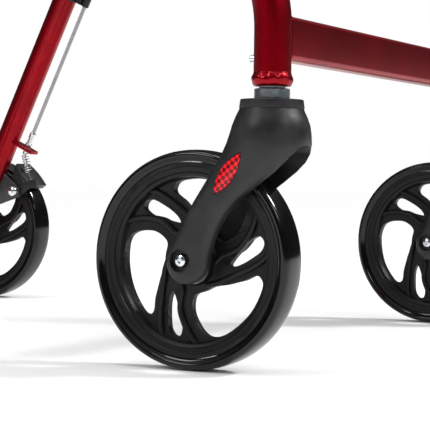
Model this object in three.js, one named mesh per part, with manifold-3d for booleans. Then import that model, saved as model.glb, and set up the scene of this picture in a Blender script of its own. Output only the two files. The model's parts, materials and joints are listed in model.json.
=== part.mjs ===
// Four-wheeled rollator walker that folds front to back. Millimetres, +Z up, front faces -Y.
// While the parts are drawn, y = 0 is the front stems' axis and z = 0 the floor; the group is
// shifted at the end so that the origin is the middle of the footprint, on the floor.
import * as THREE from "three";
import { mergeVertices } from "three/addons/utils/BufferGeometryUtils.js";
import Module from "manifold-3d";

const wasm = await Module();
wasm.setup();

// ---------------------------------------------------------------- driving dimensions
const GAP = 0.3; // between fixed pieces that touch
const RUN = 0.1; // radial clearance of a turning or sliding fit

const WHEEL_R = 95;
const TYRE_W = 32;
const TREAD_T = 10.5; // rubber outside the rim
const RIM_R = WHEEL_R - TREAD_T;
const RIM_W = 26;
const HUB_R = 20.5;
const WEB_T = 7;
const BARREL_R = RIM_R - 13; // inside of the rim's barrel
const AXLE_R = 5;
const WHEEL_SEGS = 24;
const TUBE_SEGS = 12;

const TRACK = 585; // between the wheels' mid-planes
const TRAIL = 70.5; // front axle behind the stem
const REAR_AXLE_Y = 725.5;

const FORK_HALF_W = 30;
const FORK_GAP_HALF = 20.5; // half the space between the fork's legs
const FORK_TOP_Z = 2 * WHEEL_R + 34.5;
const FORK_BULB_R = 33;
const WELL_TOP_Z = 2 * WHEEL_R + 1; // top of the wheel well
const BOSS_R = 21.5;
const RECESS_R = 9.75;
const RECESS_DEPTH = 6;
const CAP_R = 27;
const CAP_H = 7.4;

const STEM_R = 6;
const NUT_R = 15.3; // across corners / 2
const NUT_H = 9.1;
const WASHER_R = 11;
const WASHER_H = 2.6;

const UPRIGHT_R = 15.9;
const UPRIGHT_STRAIGHT = 46.5; // length of the upright below its bend
const UPRIGHT_BEND_R = 120;
const UPRIGHT_TOP_Z = 820;
const FRONT_LEAN = THREE.MathUtils.degToRad(34);
const COLLAR_R = 17.2;
const COLLAR_H = 8;

const CROSSBAR_H = 38;
const CROSSBAR_D = 20;
const CROSSBAR_CORNER = 5;
const CROSSBAR_RISE = 40.5; // crossbar's axis above the foot of the upright

const REAR_LEG_R = 15;
const REAR_LEG_WALL = 2;
const LEG_INSET = 33; // rear leg's axis inboard of the wheel's mid-plane
const REAR_LEAN = THREE.MathUtils.degToRad(25.5);
const REAR_LEAN_TOP = THREE.MathUtils.degToRad(41);
const REAR_BEND_Z = 480;
const REAR_BEND_R = 150;
const LEG_FOOT = 24; // rear leg beyond the axle
const LEG_EYE = 17; // rear leg beyond the fold pivot
const PIVOT_R = 8;

const SEAT_TUBE_R = 11;
const SEAT_TUBE_Z = 545;
const SEAT_HALF_W = 228;
const SEAT_BASE_T = 7;
const SEAT_PAD_T = 26;
const SEAT_OVERHANG = 14;

const HANDLE_R = 12.7;
const HANDLE_WALL = 1.8;
const HANDLE_OUT = 76; // handle tube showing above the upright
const HANDLE_IN = 190; // handle tube inside the upright
const HANDLE_BEND_R = 50;
const GRIP_R = 17;
const GRIP_LEN = 116;
const GRIP_SEGS = 14;
const HOUSING_LEN = 22;
const KNOB_R = 17;

const BACK_TUBE_R = 9;
const BACK_PIN_R = 5;
const BACK_PIVOT_Z = 803;
const BACK_REACH = 122; // how far the back bar bows forward
const BACK_PAD_W = 300;
const BACK_PAD_H = 74;
const BACK_PAD_T = 30;

const BAG_HALF_W = 190;
const BAG_DEPTH = 132;
const BAG_TOP_Z = 520;
const BAG_H = 112;
const BAG_WALL = 3;

const CABLE_R = 2.5;
const CABLE_OFF = 30; // cable's axis in front of the rear leg's axis
const CABLE_SHIFT = 4.5; // cable's axis outboard of the rear leg's axis
const TAB_Z = WHEEL_R + 122;

// ---------------------------------------------------------------- solids
function solid(geometry) {
  const bare = geometry.clone();
  bare.deleteAttribute("normal");
  bare.deleteAttribute("uv");
  const merged = mergeVertices(bare, 1e-4);
  return new wasm.Manifold(
    new wasm.Mesh({
      numProp: 3,
      vertProperties: merged.attributes.position.array,
      triVerts: new Uint32Array(merged.index.array),
    }),
  );
}

function geometryOf(manifold) {
  const mesh = manifold.getMesh();
  const geometry = new THREE.BufferGeometry();
  geometry.setAttribute("position", new THREE.BufferAttribute(mesh.vertProperties, mesh.numProp));
  geometry.setIndex(new THREE.BufferAttribute(mesh.triVerts, 1));
  const flat = geometry.toNonIndexed();
  flat.computeVertexNormals();
  return flat;
}

const V = (x, y, z) => new THREE.Vector3(x, y, z);
const union = (first, ...rest) => rest.reduce((sum, each) => sum.add(each), first);
const cut = (first, ...rest) => rest.reduce((sum, each) => sum.subtract(each), first);

// A path through given knots with exact tangents, so straight stretches cost no sections.
class KnotPath extends THREE.Curve {
  constructor(knots) {
    super();
    this.knots = knots;
  }
  getPoint(t) {
    const last = this.knots.length - 1;
    const at = Math.min(t * last, last);
    const i = Math.min(Math.floor(at + 1e-9), last - 1);
    return this.knots[i].p.clone().lerp(this.knots[i + 1].p, at - i);
  }
  getPointAt(u) {
    return this.getPoint(u);
  }
  getTangent(t) {
    const i = Math.round(t * (this.knots.length - 1));
    return this.knots[i].d.clone();
  }
  getTangentAt(u) {
    return this.getTangent(u);
  }
}

// Knots for straight runs joined by arcs: corners[i] is rounded with radii[i].
function bentPath(corners, radii, stepAngle = 0.13) {
  const knots = [];
  const heading = (a, b) => b.clone().sub(a).normalize();
  knots.push({ p: corners[0], d: heading(corners[0], corners[1]) });
  for (let i = 1; i < corners.length - 1; i++) {
    const into = heading(corners[i - 1], corners[i]);
    const out = heading(corners[i], corners[i + 1]);
    const turn = into.angleTo(out);
    const reach = radii[i] * Math.tan(turn / 2);
    const start = corners[i].clone().addScaledVector(into, -reach);
    const axis = into.clone().cross(out).normalize();
    const toCentre = axis.clone().cross(into).multiplyScalar(radii[i]);
    const centre = start.clone().add(toCentre);
    const steps = Math.max(2, Math.ceil(turn / stepAngle));
    for (let k = 0; k <= steps; k++) {
      const angle = (turn * k) / steps;
      const arm = toCentre.clone().negate().applyAxisAngle(axis, angle);
      knots.push({ p: centre.clone().add(arm), d: into.clone().applyAxisAngle(axis, angle) });
    }
  }
  const n = corners.length - 1;
  knots.push({ p: corners[n], d: heading(corners[n - 1], corners[n]) });
  return new KnotPath(knots);
}

// A smooth path through hand-placed points.
function smoothPath(points, steps) {
  const curve = new THREE.CatmullRomCurve3(points, false, "centripetal");
  const knots = [];
  for (let i = 0; i <= steps; i++)
    knots.push({ p: curve.getPointAt(i / steps), d: curve.getTangentAt(i / steps) });
  return new KnotPath(knots);
}

function ring(radius, segs, phase = 0) {
  const points = [];
  for (let i = 0; i < segs; i++) {
    const a = (i / segs) * Math.PI * 2 + phase;
    points.push(new THREE.Vector2(radius * Math.cos(a), radius * Math.sin(a)));
  }
  return points;
}

function sweep(path, radius, bore = 0, segs = 20) {
  const section = new THREE.Shape(ring(radius, segs));
  if (bore > 0) section.holes.push(new THREE.Path(ring(bore, segs).reverse()));
  const steps = path.knots.length - 1;
  return solid(new THREE.ExtrudeGeometry(section, { extrudePath: path, steps }));
}

// A round bar from a to b.
function bar(a, b, radius, bore = 0, segs = 20) {
  return sweep(bentPath([a, b], []), radius, bore, segs);
}

// A lathe about an axis parallel to X; profile points are [radius, x].
function turnedX(profile, at, segs = WHEEL_SEGS) {
  const points = profile.map(([r, x]) => new THREE.Vector2(r, x));
  const geometry = new THREE.LatheGeometry(points, segs);
  geometry.rotateZ(-Math.PI / 2);
  geometry.translate(at.x, at.y, at.z);
  return facingOut(geometry);
}

// A lathe about a vertical axis; profile points are [radius, z].
function turnedZ(profile, at, segs = 18) {
  const points = profile.map(([r, z]) => new THREE.Vector2(r, z));
  const geometry = new THREE.LatheGeometry(points, segs);
  geometry.rotateX(Math.PI / 2);
  geometry.translate(at.x, at.y, at.z);
  return facingOut(geometry);
}

function facingOut(geometry) {
  const made = solid(geometry);
  if (made.volume() > 0) return made;
  const index = mergeVertices(stripped(geometry), 1e-4);
  const order = Array.from(index.index.array);
  for (let i = 0; i < order.length; i += 3) [order[i + 1], order[i + 2]] = [order[i + 2], order[i + 1]];
  index.setIndex(order);
  return solid(index);
}

function stripped(geometry) {
  const bare = geometry.clone();
  bare.deleteAttribute("normal");
  bare.deleteAttribute("uv");
  return bare;
}

// An outline's points without near repeats, such as where an arc meets a line.
function distinct(points) {
  const apart = 0.05;
  const kept = points.filter((p, i) => i === 0 || p.distanceTo(points[i - 1]) > apart);
  if (kept[0].distanceTo(kept[kept.length - 1]) < apart) kept.pop();
  return kept;
}

// A plate drawn in the side view: outline points are [y, z], from x = low to x = high.
function sidePlate(outline, low, high, bevel = 0, fineness = 5) {
  const drawn = Array.isArray(outline)
    ? outline.map(([y, z]) => new THREE.Vector2(y, z))
    : outline.extractPoints(fineness).shape;
  const shape = new THREE.Shape(distinct(drawn));
  const geometry = new THREE.ExtrudeGeometry(shape, {
    depth: high - low - 2 * bevel,
    bevelEnabled: bevel > 0,
    bevelThickness: bevel,
    bevelSize: bevel,
    bevelOffset: -bevel,
    bevelSegments: 1,
    steps: 1,
  });
  geometry.rotateY(Math.PI / 2);
  geometry.rotateX(Math.PI / 2);
  geometry.translate(low + bevel, 0, 0);
  return solid(geometry);
}

// A block with rounded vertical or lengthwise edges, centred at c, sized x by y by z.
function block(c, sx, sy, sz, corner = 0) {
  if (corner === 0) {
    const plain = new THREE.BoxGeometry(sx, sy, sz);
    plain.translate(c.x, c.y, c.z);
    return solid(plain);
  }
  const hy = sy / 2;
  const hz = sz / 2;
  const shape = new THREE.Shape();
  shape.moveTo(c.y - hy + corner, c.z - hz);
  shape.lineTo(c.y + hy - corner, c.z - hz);
  shape.absarc(c.y + hy - corner, c.z - hz + corner, corner, -Math.PI / 2, 0);
  shape.absarc(c.y + hy - corner, c.z + hz - corner, corner, 0, Math.PI / 2);
  shape.absarc(c.y - hy + corner, c.z + hz - corner, corner, Math.PI / 2, Math.PI);
  shape.absarc(c.y - hy + corner, c.z - hz + corner, corner, Math.PI, Math.PI * 1.5);
  return sidePlate(shape, c.x - sx / 2, c.x + sx / 2, 0, 3);
}

// Radius of a many-sided hole whose flats just clear a round of the given radius.
const around = (radius, segs) => radius / Math.cos(Math.PI / segs);

// A rod along X.
const rodX = (x0, x1, y, z, radius, segs = 12) =>
  bar(V(Math.min(x0, x1), y, z), V(Math.max(x0, x1), y, z), radius, 0, segs);

// ---------------------------------------------------------------- key places
const HALF_TRACK = TRACK / 2;
const LEG_X = HALF_TRACK - LEG_INSET;
const LEG_INNER_X = LEG_X - REAR_LEG_R;
const UPRIGHT_BORE_R = HANDLE_R + GAP;
const CAP_Z = FORK_TOP_Z + GAP;
const NUT_Z = CAP_Z + CAP_H + GAP;
const UPRIGHT_Z = NUT_Z + NUT_H + WASHER_H + GAP;
const UPRIGHT_BEND_Z = UPRIGHT_Z + UPRIGHT_STRAIGHT;
const CROSSBAR_Z = UPRIGHT_Z + CROSSBAR_RISE;

// Side-view direction of a line that leans back by angle.
const leaning = (angle) => ({ y: Math.sin(angle), z: Math.cos(angle) });
const lean = leaning(FRONT_LEAN);

// The upright's axis: its corner, and the point on it at height z.
const UPRIGHT_CORNER_Z = UPRIGHT_BEND_Z + UPRIGHT_BEND_R * Math.tan(FRONT_LEAN / 2);
const uprightY = (z) => ((z - UPRIGHT_CORNER_Z) * lean.y) / lean.z;
const uprightAt = (x, z) => V(x, uprightY(z), z);

// The rear leg's axis.
const legLowY = (z) => REAR_AXLE_Y - (z - WHEEL_R) * Math.tan(REAR_LEAN);
const LEG_CORNER_Z = REAR_BEND_Z + REAR_BEND_R * Math.tan((REAR_LEAN_TOP - REAR_LEAN) / 2);
const legHighY = (z) => legLowY(LEG_CORNER_Z) - (z - LEG_CORNER_Z) * Math.tan(REAR_LEAN_TOP);

// The fold pivot is where the rear leg's axis crosses the upright's in the side view.
const PIVOT_Z =
  (legLowY(LEG_CORNER_Z) + LEG_CORNER_Z * Math.tan(REAR_LEAN_TOP) + (UPRIGHT_CORNER_Z * lean.y) / lean.z) /
  (Math.tan(REAR_LEAN_TOP) + lean.y / lean.z);
const PIVOT_Y = uprightY(PIVOT_Z);

const SEAT_HINGE_Y = uprightY(SEAT_TUBE_Z);
const REAR_TUBE_Y = legHighY(SEAT_TUBE_Z);
const BACK_PIVOT_Y = uprightY(BACK_PIVOT_Z);

const HANDLE_BEND_Z = UPRIGHT_TOP_Z + HANDLE_OUT * lean.z;
const HANDLE_Z = HANDLE_BEND_Z + HANDLE_BEND_R * (1 - lean.y);
const HOUSING_Y = uprightY(HANDLE_BEND_Z) + HANDLE_BEND_R * lean.z + 2;
const GRIP_Y = HOUSING_Y + HOUSING_LEN + GAP;
const HANDLE_END_Y = GRIP_Y + GRIP_LEN - 6;

// Unit vectors along the lower rear leg (upwards) and square to it, forwards.
const legUp = { y: -Math.sin(REAR_LEAN), z: Math.cos(REAR_LEAN) };
const legFront = { y: -legUp.z, z: legUp.y };
const beforeLeg = (z, off) => [legLowY(z) + legFront.y * off, z + legFront.z * off];

// ---------------------------------------------------------------- colours
const finish = (color, roughness, metalness) => ({ color, roughness, metalness });
const RED = finish(0x9c0a20, 0.28, 0.6);
const BLACK = finish(0x1b1b1d, 0.5, 0);
const GREY = finish(0x323234, 0.5, 0);
const RUBBER = finish(0x101011, 0.4, 0);
const ZINC = finish(0xb9bdc0, 0.35, 0.9);
const CABLE = finish(0xa3a2a6, 0.6, 0);
const FABRIC = finish(0x222226, 0.9, 0);
const LENS = finish(0xd0122a, 0.2, 0);

const rollator = new THREE.Group();

function add(name, manifold, look) {
  const mesh = new THREE.Mesh(geometryOf(manifold), new THREE.MeshStandardMaterial(look));
  mesh.name = name;
  rollator.add(mesh);
}

// ---------------------------------------------------------------- wheels
function tyre(at) {
  const half = TYRE_W / 2;
  const inner = RIM_R + GAP;
  const profile = [
    [inner, -RIM_W / 2],
    [inner + 3, -half + 0.6],
    [WHEEL_R - 5, -half],
    [WHEEL_R - 1.6, -half * 0.72],
    [WHEEL_R, -half * 0.3],
    [WHEEL_R, half * 0.3],
    [WHEEL_R - 1.6, half * 0.72],
    [WHEEL_R - 5, half],
    [inner + 3, half - 0.6],
    [inner, RIM_W / 2],
    [inner, -RIM_W / 2],
  ];
  return turnedX(profile, at);
}

// An opening in the rim's web, through points of [share of the barrel's radius, angle in degrees].
function webOpening(edge, turn, at) {
  const points = edge.map(([share, deg]) => {
    const a = THREE.MathUtils.degToRad(deg + turn);
    const r = share * BARREL_R;
    return V(at.y + r * Math.cos(a), at.z + r * Math.sin(a), 0);
  });
  const curve = new THREE.CatmullRomCurve3(points, true);
  const outline = curve.getPoints(Math.round(points.length * 1.25)).slice(0, -1);
  const shape = new THREE.Shape(outline.map((p) => new THREE.Vector2(p.x, p.y)));
  return sidePlate(shape, at.x - WEB_T, at.x + WEB_T);
}

const SPOKES = 3;
// Swirled slot between two ribs, then the wide opening between pairs of ribs.
const SLOT = [
  [0.49, 66],
  [0.72, 60],
  [0.95, 50],
  [0.95, 41],
  [0.76, 42],
  [0.57, 54],
];
const WINDOW = [
  [0.41, 2],
  [0.42, 27],
  [0.64, 31],
  [0.88, 21],
  [0.98, 0],
  [0.98, -41],
  [0.84, -49],
  [0.6, -34],
];

function rim(at, hubHalf) {
  const profile = [
    [AXLE_R + RUN, -hubHalf],
    [11, -hubHalf],
    [HUB_R, -RIM_W / 2],
    [HUB_R, -WEB_T / 2],
    [BARREL_R, -WEB_T / 2],
    [BARREL_R + 3, -RIM_W / 2 + 4],
    [RIM_R, -RIM_W / 2],
  ];
  const mirrored = profile.map(([r, x]) => [r, -x]).reverse();
  const disc = turnedX([...profile, ...mirrored, profile[0]], at);
  const openings = [];
  for (let i = 0; i < SPOKES; i++) {
    const turn = (i * 360) / SPOKES;
    openings.push(webOpening(SLOT, turn, at), webOpening(WINDOW, turn, at));
  }
  return cut(disc, ...openings);
}

// ---------------------------------------------------------------- front caster
// Height of a point on the fork, as a share of the way from the axle to the well's top.
const forkZ = (share) => WHEEL_R + share * (WELL_TOP_Z - WHEEL_R);
const forkCurve = (points) => points.map(([y, share]) => new THREE.Vector2(y, forkZ(share)));
const BULB_SHARE = 1.15;

function forkOutline() {
  const endY = TRAIL - 4.5;
  const shape = new THREE.Shape();
  shape.moveTo(-FORK_BULB_R + 4, forkZ(BULB_SHARE));
  shape.splineThru(
    forkCurve([
      [-FORK_BULB_R + 3, 0.99],
      [-19, 0.81],
      [8, 0.61],
      [24, 0.47],
      [36, 0.27],
      [endY - BOSS_R, 0],
    ]),
  );
  const steps = 9;
  for (let i = 1; i <= steps; i++) {
    const a = Math.PI * (1 + (1.1 * i) / steps);
    shape.lineTo(endY + BOSS_R * Math.cos(a), WHEEL_R + BOSS_R * Math.sin(a));
  }
  shape.splineThru(
    forkCurve([
      [67, 0.41],
      [56, 0.58],
      [44, 0.76],
      [36, 0.95],
      [FORK_BULB_R - 3, BULB_SHARE],
    ]),
  );
  return shape;
}

const HEAD_TOP_Z = FORK_TOP_Z - 23; // top of the stem bolt's head
const HEAD_R = 10.5;
const HEAD_H = 9.6;

function fork(x) {
  const bulb = turnedZ(
    [
      [0, -43],
      [24, -42],
      [FORK_BULB_R - 2, -35],
      [FORK_BULB_R, -25],
      [FORK_BULB_R - 1.5, -14],
      [CAP_R + 0.5, -5],
      [CAP_R - 0.5, 0],
      [0, 0],
    ],
    V(x, 0, FORK_TOP_Z),
    22,
  );
  const legs = sidePlate(forkOutline(), x - FORK_HALF_W, x + FORK_HALF_W, 4, 1);
  const front = -2 * FORK_BULB_R;
  const back = TRAIL + WHEEL_R;
  const well = sidePlate(
    [
      [front, 0],
      [back, 0],
      [back, WELL_TOP_Z],
      [front, WELL_TOP_Z],
    ],
    x - FORK_GAP_HALF,
    x + FORK_GAP_HALF,
  );
  const beyond = FORK_HALF_W + 10;
  const axle = rodX(x - beyond, x + beyond, TRAIL, WHEEL_R, AXLE_R + GAP);
  const recess = (s) =>
    rodX(x + s * (FORK_HALF_W - RECESS_DEPTH), x + s * beyond, TRAIL, WHEEL_R, RECESS_R, 24);
  const drill = (top, radius) => bar(V(x, 0, WHEEL_R), V(x, 0, top), radius, 0, 24);
  const stemHole = drill(FORK_TOP_Z + 10, STEM_R + RUN);
  const headPocket = drill(HEAD_TOP_Z + GAP, HEAD_R + 2.5);
  return cut(union(bulb, legs), well, axle, recess(1), recess(-1), stemHole, headPocket);
}

// The diamond-faced lens lies on the fork's outer face, along the leg.
const LENS_L = 42;
const LENS_W = 15;
const LENS_T = 3;
const LENS_Y = 25.5;
const LENS_Z = forkZ(0.776);
const LENS_TILT = THREE.MathUtils.degToRad(37.7);

function reflector(x, side) {
  const r = LENS_W / 2;
  const half = LENS_L / 2 - r;
  const up = { y: -Math.sin(LENS_TILT), z: Math.cos(LENS_TILT) };
  const shape = new THREE.Shape();
  const tilt = Math.PI / 2 + LENS_TILT;
  shape.absarc(LENS_Y + up.y * half, LENS_Z + up.z * half, r, tilt - Math.PI / 2, tilt + Math.PI / 2);
  shape.absarc(LENS_Y - up.y * half, LENS_Z - up.z * half, r, tilt + Math.PI / 2, tilt + Math.PI * 1.5);
  const face = x + side * (FORK_HALF_W + GAP);
  return sidePlate(shape, Math.min(face, face + side * LENS_T), Math.max(face, face + side * LENS_T));
}

function axleBolt(x, y, inner, outer, side, headR, headH) {
  const shaft = rodX(x + side * inner, x + side * outer, y, WHEEL_R, AXLE_R);
  const head = rodX(x + side * outer, x + side * (outer + headH), y, WHEEL_R, headR, 16);
  const nut = rodX(x + side * (inner - headH), x + side * inner, y, WHEEL_R, headR, 6);
  return union(shaft, head, nut);
}

// ---------------------------------------------------------------- front frame
function uprightPath(x) {
  return bentPath(
    [V(x, 0, UPRIGHT_Z), V(x, 0, UPRIGHT_CORNER_Z), uprightAt(x, UPRIGHT_TOP_Z)],
    [0, UPRIGHT_BEND_R],
    0.2,
  );
}

function upright(x, side) {
  const tube = sweep(uprightPath(x), UPRIGHT_R, UPRIGHT_BORE_R, TUBE_SEGS);
  const collar = turnedZ(
    [
      [0, 0],
      [COLLAR_R - 2, 0],
      [COLLAR_R, 2],
      [COLLAR_R, COLLAR_H - 1],
      [UPRIGHT_R - 1, COLLAR_H],
      [0, COLLAR_H],
    ],
    V(x, 0, UPRIGHT_Z),
  );
  const plug = bar(V(x, 0, UPRIGHT_Z), V(x, 0, UPRIGHT_Z + 22), UPRIGHT_R - 0.6, 0, TUBE_SEGS);
  const thread = bar(V(x, 0, UPRIGHT_Z - 5), V(x, 0, UPRIGHT_Z + 30), STEM_R + GAP, 0, 24);
  const inner = x - side * (UPRIGHT_R - 0.8);
  const foldPin = rodX(inner, side * (LEG_INNER_X - 2), PIVOT_Y, PIVOT_Z, PIVOT_R, 24);
  const backPin = rodX(inner, side * (LEG_INNER_X + 1), BACK_PIVOT_Y, BACK_PIVOT_Z, BACK_PIN_R);
  // A peg behind the rear leg stops the frame at its open width.
  const off = REAR_LEG_R + 5 + GAP;
  const down = 46;
  const pegY = PIVOT_Y + down * Math.sin(REAR_LEAN_TOP) + off * Math.cos(REAR_LEAN_TOP);
  const pegZ = PIVOT_Z - down * Math.cos(REAR_LEAN_TOP) + off * Math.sin(REAR_LEAN_TOP);
  const arm = sidePlate(
    [
      [uprightY(pegZ) + 2, pegZ - 12],
      [pegY + 4, pegZ - 5],
      [pegY + 4, pegZ + 5],
      [uprightY(pegZ) + 2, pegZ + 12],
    ],
    Math.min(x, x - side * 6),
    Math.max(x, x - side * 6),
  );
  const peg = rodX(x - side * 4, side * (LEG_X - 2), pegY, pegZ, 5, 16);
  const outside = cut(union(arm, peg), sweep(uprightPath(x), UPRIGHT_R - 0.5, 0, TUBE_SEGS));
  const knobHole = rodX(x, x + side * 40, uprightY(KNOB_Z), KNOB_Z, 4 + GAP, 16);
  return cut(union(tube, collar, cut(plug, thread), foldPin, backPin, outside), thread, knobHole);
}

const KNOB_Z = UPRIGHT_TOP_Z - 26;

function heightKnob(x, side) {
  const start = UPRIGHT_BORE_R + 0.1;
  const z = KNOB_Z;
  const y = uprightY(z);
  const stud = rodX(x + side * start, x + side * (UPRIGHT_R + 8), y, z, 4, 16);
  const lobes = [rodX(x + side * (UPRIGHT_R + 3), x + side * (UPRIGHT_R + 17), y, z, KNOB_R - 6, 16)];
  for (let i = 0; i < SPOKES; i++) {
    const a = (i / SPOKES) * Math.PI * 2;
    const r = KNOB_R - 6.5;
    const cy = y + r * Math.cos(a);
    const cz = z + r * Math.sin(a);
    lobes.push(rodX(x + side * (UPRIGHT_R + 4), x + side * (UPRIGHT_R + 16), cy, cz, 6.5, 12));
  }
  return union(stud, ...lobes);
}

function stemBolt(x) {
  const shaft = bar(V(x, 0, HEAD_TOP_Z - 3), V(x, 0, UPRIGHT_Z + 20), STEM_R, 0, 24);
  const head = bar(V(x, 0, HEAD_TOP_Z - HEAD_H), V(x, 0, HEAD_TOP_Z), HEAD_R, 0, 6);
  return union(shaft, head);
}

function stemNut(x) {
  const hex = bar(V(x, 0, NUT_Z), V(x, 0, NUT_Z + NUT_H), NUT_R, 0, 6);
  const washer = bar(V(x, 0, NUT_Z + NUT_H - 0.5), V(x, 0, NUT_Z + NUT_H + WASHER_H), WASHER_R, 0, 24);
  return cut(union(hex, washer), bar(V(x, 0, NUT_Z - 9), V(x, 0, NUT_Z + 30), STEM_R + GAP, 0, 24));
}

function forkCap(x) {
  const h = CAP_H;
  const bore = STEM_R + RUN;
  return turnedZ(
    [
      [bore, 0],
      [CAP_R, 0],
      [CAP_R, h - 2],
      [CAP_R - 2, h],
      [bore, h],
      [bore, 0],
    ],
    V(x, 0, CAP_Z),
    22,
  );
}

// ---------------------------------------------------------------- rear frame
function legPath(x) {
  const footZ = WHEEL_R - LEG_FOOT * legUp.z;
  const eyeZ = PIVOT_Z + LEG_EYE * Math.cos(REAR_LEAN_TOP);
  return bentPath(
    [V(x, legLowY(footZ), footZ), V(x, legLowY(LEG_CORNER_Z), LEG_CORNER_Z), V(x, legHighY(eyeZ), eyeZ)],
    [0, REAR_BEND_R],
  );
}

const TAB_LEN = 31;
const TAB_T = 4;
// A place about the rear axle, as [y, z].
function aboutAxle(radius, deg) {
  const a = THREE.MathUtils.degToRad(deg);
  return [REAR_AXLE_Y + radius * Math.cos(a), WHEEL_R + radius * Math.sin(a)];
}
const SHOE_PIVOT = aboutAxle(WHEEL_R - 10.8, 142.7);
const CABLE_END = aboutAxle(WHEEL_R + 16.5, 145.6);
const CABLE_X = LEG_X + CABLE_SHIFT;

function rearLeg(x, side) {
  const tube = sweep(legPath(x), REAR_LEG_R, REAR_LEG_R - REAR_LEG_WALL, TUBE_SEGS);
  const at = (off, up) => {
    const [y, z] = beforeLeg(TAB_Z, off);
    return [y + legUp.y * up, z + legUp.z * up];
  };
  const inner = REAR_LEG_R - 1;
  const outer = REAR_LEG_R + TAB_LEN;
  const half = TAB_T / 2;
  const tab = sidePlate([at(inner, -half), at(outer, -half), at(outer, half), at(inner, half)], x - 9, x + 9);
  const [cy, cz] = beforeLeg(TAB_Z, CABLE_OFF);
  const wire = side * CABLE_X;
  const along = (d) => V(wire, cy + legUp.y * d, cz + legUp.z * d);
  const wireHole = bar(along(-15), along(15), CABLE_R + GAP, 0, 12);
  const axleHole = rodX(x - 30, x + 30, REAR_AXLE_Y, WHEEL_R, AXLE_R + GAP);
  const pinHole = rodX(x - 30, x + 30, PIVOT_Y, PIVOT_Z, PIVOT_R + RUN, 24);
  return cut(union(tube, tab), wireHole, axleHole, pinHole);
}

function rearAxle(x, side) {
  const bolt = axleBolt(x, REAR_AXLE_Y, -LEG_INSET - REAR_LEG_R - GAP, TYRE_W / 2 + 0.5, side, 8, 6);
  const spacer = rodX(
    side * (LEG_X + REAR_LEG_R + GAP),
    x - side * (TYRE_W / 2 - 2 + GAP),
    REAR_AXLE_Y,
    WHEEL_R,
    8,
    16,
  );
  return union(bolt, spacer);
}

// The shoe's arm turns on a bolt in front of the leg; its nose hangs from the cable.
const ARM_X = LEG_X + CABLE_SHIFT;
const ARM_T = 4;
const SHOE_GAP = 2.5;
const SHOE_T = 9;

function brakeArm(x, side) {
  const [py, pz] = SHOE_PIVOT;
  const [cy, cz] = CABLE_END;
  const low = side * (ARM_X - ARM_T / 2);
  const high = side * (ARM_X + ARM_T / 2);
  const plate = sidePlate(
    [
      [py - 4, pz - 9],
      [py + 9, pz - 3],
      [py + 1, pz + 34],
      [py - 4, pz + 34],
      [cy + 10, cz],
      [cy - 7, cz + 5],
      [cy - 5, cz - 7],
    ],
    Math.min(low, high),
    Math.max(low, high),
  );
  const legSide = side * (LEG_X + REAR_LEG_R + 1);
  const link = treadBlock(134, 146, low, legSide + side);
  const shoe = treadBlock(124, 146, legSide, x + side * 14);
  return cut(union(plate, link, shoe), rodX(low - side * 9, high + side * 9, py, pz, 4 + RUN, 20));
}

// A block that follows the rear tread between two angles about the axle.
function treadBlock(fromDeg, toDeg, x0, x1) {
  const inner = WHEEL_R + SHOE_GAP;
  const from = THREE.MathUtils.degToRad(fromDeg);
  const to = THREE.MathUtils.degToRad(toDeg);
  const shape = new THREE.Shape();
  shape.absarc(REAR_AXLE_Y, WHEEL_R, inner, from, to, false);
  shape.absarc(REAR_AXLE_Y, WHEEL_R, inner + SHOE_T, to, from, true);
  return sidePlate(shape, Math.min(x0, x1), Math.max(x0, x1), 0, 3);
}

function brakeBracket(side) {
  const [py, pz] = SHOE_PIVOT;
  const low = side * (ARM_X - ARM_T / 2 - GAP);
  const inner = low - side * 4;
  const [topY, topZ] = beforeLeg(176, REAR_LEG_R - 2);
  const [footY, footZ] = beforeLeg(128, REAR_LEG_R - 2);
  const plate = sidePlate(
    [
      [py - 9, pz - 5],
      [footY, footZ],
      [topY, topZ],
      [py - 6, pz + 9],
    ],
    Math.min(inner, low),
    Math.max(inner, low),
  );
  const leg = sweep(legPath(side * LEG_X), REAR_LEG_R + GAP, 0, TUBE_SEGS);
  return cut(plate, leg, rodX(inner - side * 9, low + side * 9, py, pz, 4 + GAP, 20));
}

function brakeBolt(side) {
  const [py, pz] = SHOE_PIVOT;
  const inner = ARM_X - ARM_T / 2 - GAP - 4 - GAP;
  const outer = ARM_X + ARM_T / 2 + GAP;
  return union(
    rodX(side * inner, side * outer, py, pz, 4, 20),
    rodX(side * (inner - 5), side * inner, py, pz, 7, 16),
    rodX(side * outer, side * (outer + 4), py, pz, 7, 6),
  );
}

function brakeSpring(side) {
  const [topY, topZ] = beforeLeg(TAB_Z, CABLE_OFF);
  const top = V(side * CABLE_X, topY - legUp.y * 9, topZ - legUp.z * 9);
  const end = V(side * CABLE_X, CABLE_END[0] + 4, CABLE_END[1] + 14);
  const axis = end.clone().sub(top);
  const turns = 5;
  const steps = turns * 7;
  const across = V(1, 0, 0);
  const other = axis.clone().normalize().cross(across);
  const coil = 4.4;
  const points = [];
  for (let i = 0; i <= steps; i++) {
    const a = (i / 7) * Math.PI * 2;
    points.push(
      top
        .clone()
        .addScaledVector(axis, i / steps)
        .addScaledVector(across, coil * Math.cos(a))
        .addScaledVector(other, coil * Math.sin(a)),
    );
  }
  return sweep(smoothPath(points, steps), 0.8, 0, 4);
}

// ---------------------------------------------------------------- brake cables
// Lower cable: from a clip by the fold pivot, down the front of the rear leg to the tab.
const clipPoint = (side) => V(side * (LEG_INNER_X - 9), PIVOT_Y + 12, PIVOT_Z + 26);

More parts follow.
